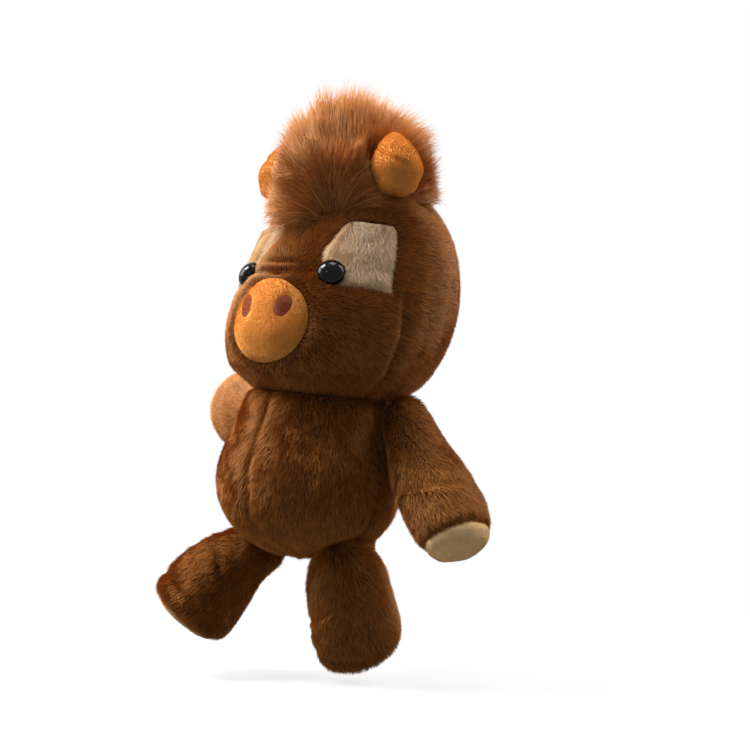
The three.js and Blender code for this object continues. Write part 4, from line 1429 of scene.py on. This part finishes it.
class COW_OT_tail(bpy.types.Operator):
    """Makes the tail and its tuft"""

    bl_idname = "cow.tail"
    bl_label = "Tail"

    def execute(self, context):
        sizes = context.scene.cow_sizes
        cut = body_cover("tail_form", ["tail_cord"], [], "torso", grain=1.4 * MM, rounds=5)
        comb_pile(cut["tail_cord"], -TOY_UP, sizes.pile_length * 0.7, sizes.pile_lift)
        grow_brown("tail_pile", [cut["tail_cord"]], "torso", seed=50)
        low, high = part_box("tail_tuft")
        top = Vector(((low.x + high.x) / 2, (low.y + high.y) / 2, high.z))
        # The tuft's core is the dark hair cloth, painted shade under the locks.
        cut = body_cover("tail_tuft_form", ["tail_tuft"], [], "torso", grain=1.6 * MM, rounds=8)
        mesh = cut["tail_tuft"]
        for vert in mesh.vertices:
            vert.co = top + (vert.co - top) * TAIL_CORE_SHARE
        comb(mesh,
             lambda place, normal: ((place - top).normalized() + normal * 0.25).normalized(),
             lambda place, normal: TAIL_LOCK_LENGTH * MM)
        grow_strands("tail_locks", [mesh], "torso", "hair",
                     count=2.0, width=sizes.hair_width, steps=3, shortest=0.7, longest=1.1, stray=0.12,
                     clump_size=120.0, clump=0.3, curl=2 * MM, seed=52)
        return {"FINISHED"}


FILLING_SINK = 3.0
FILLING_LUMPS = 1.2


class COW_OT_filling(bpy.types.Operator):
    """Makes the fibre filling inside the covers"""

    bl_idname = "cow.filling"
    bl_label = "Filling"

    def execute(self, context):
        for body, nodes in frame["record"]["behaviour"]["bodies"].items():
            for node in nodes:
                if "stuffing" not in node:
                    continue
                form = stuffed_form(node + "_fibre", [node], grain=5 * MM, rounds=3)
                bm = bmesh_of(form.data)
                bm.normal_update()
                for vert in bm.verts:
                    lump = noise.noise(vert.co * 90.0)
                    vert.co -= vert.normal * (FILLING_SINK + FILLING_LUMPS * lump) * MM
                for face in bm.faces:
                    face.smooth = True
                bm.to_mesh(form.data)
                bm.free()
                form.data.materials.clear()
                form.data.materials.append(finish_named("filling"))
                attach(form, body)
                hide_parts(node)
        return {"FINISHED"}


# Places in the picture, in pixels: its middle, and the torso's lowest row and middle column.
PICTURE_MIDDLE = 375
TORSO_LOW_ROW = 556
TORSO_COLUMN = 309
PIXEL = 0.54 * MM
# The floor, in metres: its radius, how far it lies under the toy, and where it fades into the backdrop.
FLOOR_RADIUS = 6.0
FLOOR_DROP = 0.004
FADE_START = 0.15
FADE_END = 0.42
FLOOR_GLOW = 0.8
# Lamps: the panel's power, metres from the toy's middle towards the camera, right and up, and width.
LAMPS = {
    "key_light": ("key", -0.04, -0.8, 1.05, 0.42),
    "rim_light_right": ("rim", -0.35, 0.85, 0.75, 0.8),
    "side_light_left": ("side", -0.27, -1.05, 0.6, 0.7),
    "top_light": ("top", 0.05, 0.1, 1.1, 0.4),
    "glint_light": ("glint", 0.8, -0.45, 0.5, 0.075),
}


def math_node(tree, operation, first, second, within=False):
    """A Math node for two sockets or numbers; within keeps its result between zero and one."""
    node = tree.nodes.new("ShaderNodeMath")
    node.operation = operation
    node.use_clamp = within
    for pin, value in zip(node.inputs, (first, second)):
        if isinstance(value, bpy.types.NodeSocket):
            tree.links.new(value, pin)
        else:
            pin.default_value = value
    return node.outputs[0]


def seen_plainly(tree):
    """One for rays that show the backdrop itself: from the camera, off gloss or through clear pieces."""
    path = tree.nodes.new("ShaderNodeLightPath")
    shown = math_node(tree, "ADD", path.outputs["Is Camera Ray"], path.outputs["Is Glossy Ray"])
    return math_node(tree, "ADD", shown, path.outputs["Is Transmission Ray"], within=True)


class COW_OT_stage(bpy.types.Operator):
    """Makes the floor, the light and the camera"""

    bl_idname = "cow.stage"
    bl_label = "Stage"

    def execute(self, context):
        scene, stage = context.scene, context.scene.cow_stage
        scene.view_settings.view_transform = "Standard"
        self.make_floor()
        self.make_world(scene, stage)
        turn, rise = stage.azimuth, stage.elevation
        back = Vector((math.sin(turn) * math.cos(rise), -math.cos(turn) * math.cos(rise), math.sin(rise)))
        right = Vector((math.cos(turn), math.sin(turn), 0))
        self.make_camera(scene, stage, back, right)
        self.make_lamps(scene, stage, back, right)
        return {"FINISHED"}

    def make_floor(self):
        bm = bmesh.new()
        bmesh.ops.create_circle(bm, cap_ends=True, segments=96, radius=FLOOR_RADIUS)
        bmesh.ops.translate(bm, vec=(0, 0, -FLOOR_DROP), verts=bm.verts[:])
        floor = add_piece("floor", new_mesh(bm, "floor"))
        material, tree, shader = new_material("white_floor")
        shader.inputs["Base Color"].default_value = (0.16, 0.16, 0.16, 1)
        shader.inputs["Roughness"].default_value = 0.9
        shader.inputs["Specular IOR Level"].default_value = 0.0
        seen = seen_plainly(tree)
        glow = tree.nodes.new("ShaderNodeEmission")
        tree.links.new(math_node(tree, "MULTIPLY", seen, FLOOR_GLOW), glow.inputs["Strength"])
        near = tree.nodes.new("ShaderNodeAddShader")
        tree.links.new(shader.outputs[0], near.inputs[0])
        tree.links.new(glow.outputs[0], near.inputs[1])
        # Away from the toy's shadow the floor fades into the white backdrop.
        far = tree.nodes.new("ShaderNodeVectorMath")
        far.operation = "LENGTH"
        tree.links.new(tree.nodes.new("ShaderNodeTexCoord").outputs["Object"], far.inputs[0])
        blend = stretch_range(tree, far.outputs["Value"], FADE_START, FADE_END)
        fade = math_node(tree, "MULTIPLY", blend, seen)
        white = tree.nodes.new("ShaderNodeEmission")
        ground = tree.nodes.new("ShaderNodeMixShader")
        tree.links.new(fade, ground.inputs["Fac"])
        tree.links.new(near.outputs[0], ground.inputs[1])
        tree.links.new(white.outputs[0], ground.inputs[2])
        tree.links.new(ground.outputs[0], tree.nodes["Material Output"].inputs["Surface"])
        floor.data.materials.append(material)

    def make_world(self, scene, stage):
        world = bpy.data.worlds.new("white_room")
        scene.world = world
        world.use_nodes = True
        room = world.node_tree
        light = room.nodes["Background"]
        light.inputs["Color"].default_value = (1, 1, 1, 1)
        strength = stretch_range(room, seen_plainly(room), 0.0, 1.0, stage.sky, 1.0)
        room.links.new(strength, light.inputs["Strength"])

    def make_camera(self, scene, stage, back, right):
        boxes = [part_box(panel) for panel in TORSO_PANELS]
        low = Vector([min(box[0][axis] for box in boxes) for axis in range(3)])
        high = Vector([max(box[1][axis] for box in boxes) for axis in range(3)])
        height = low.z + (TORSO_LOW_ROW - PICTURE_MIDDLE) * PIXEL
        target = Vector(((low.x + high.x) / 2, (low.y + high.y) / 2, height))
        target += right * (PICTURE_MIDDLE - TORSO_COLUMN) * PIXEL
        camera = bpy.data.cameras.new("camera")
        camera.lens = stage.lens
        camera.sensor_width = 36
        holder = bpy.data.objects.new("camera", camera)
        scene.collection.objects.link(holder)
        holder.location = target + back * stage.distance
        holder.rotation_euler = (-back).to_track_quat("-Z", "Y").to_euler()
        scene.camera = holder

    def make_lamps(self, scene, stage, back, right):
        middle = (CAD_BOX[0] + CAD_BOX[1]) / 2
        for name, (power, ahead, across, above, width) in LAMPS.items():
            data = bpy.data.lights.new(name, "AREA")
            data.energy = getattr(stage, power)
            data.shape = "SQUARE"
            data.size = width
            lamp = bpy.data.objects.new(name, data)
            scene.collection.objects.link(lamp)
            lamp.location = middle + back * ahead + right * across + UP * above
            lamp.rotation_euler = (middle - lamp.location).to_track_quat("-Z", "Y").to_euler()


class COW_PT_panel(bpy.types.Panel):
    """Lists the toy's pieces, sizes and colours"""

    bl_idname = "COW_PT_panel"
    bl_label = "Plush cow"
    bl_space_type = "VIEW_3D"
    bl_region_type = "UI"
    bl_category = "Plush cow"

    def draw(self, context):
        column = self.layout.column()
        for operator in OPERATORS:
            column.operator(operator.bl_idname)
        for group in (context.scene.cow_sizes, context.scene.cow_colours, context.scene.cow_stage):
            for name in group.__annotations__:
                column.prop(group, name)


OPERATORS = (
    COW_OT_torso, COW_OT_neck, COW_OT_head, COW_OT_eyes, COW_OT_hair, COW_OT_horns, COW_OT_limbs,
    COW_OT_tail, COW_OT_filling, COW_OT_stage,
)
GROUPS = (CowSizes, CowColours, CowStage)


def register():
    for made in GROUPS + OPERATORS + (COW_PT_panel,):
        bpy.utils.register_class(made)
    bpy.types.Scene.cow_sizes = PointerProperty(type=CowSizes)
    bpy.types.Scene.cow_colours = PointerProperty(type=CowColours)
    bpy.types.Scene.cow_stage = PointerProperty(type=CowStage)


def unregister():
    del bpy.types.Scene.cow_stage
    del bpy.types.Scene.cow_colours
    del bpy.types.Scene.cow_sizes
    for made in reversed(GROUPS + OPERATORS + (COW_PT_panel,)):
        bpy.utils.unregister_class(made)


def main():
    register()
    for operator in OPERATORS:
        group, name = operator.bl_idname.split(".")
        getattr(getattr(bpy.ops, group), name)()


if __name__ == "__main__":
    main()
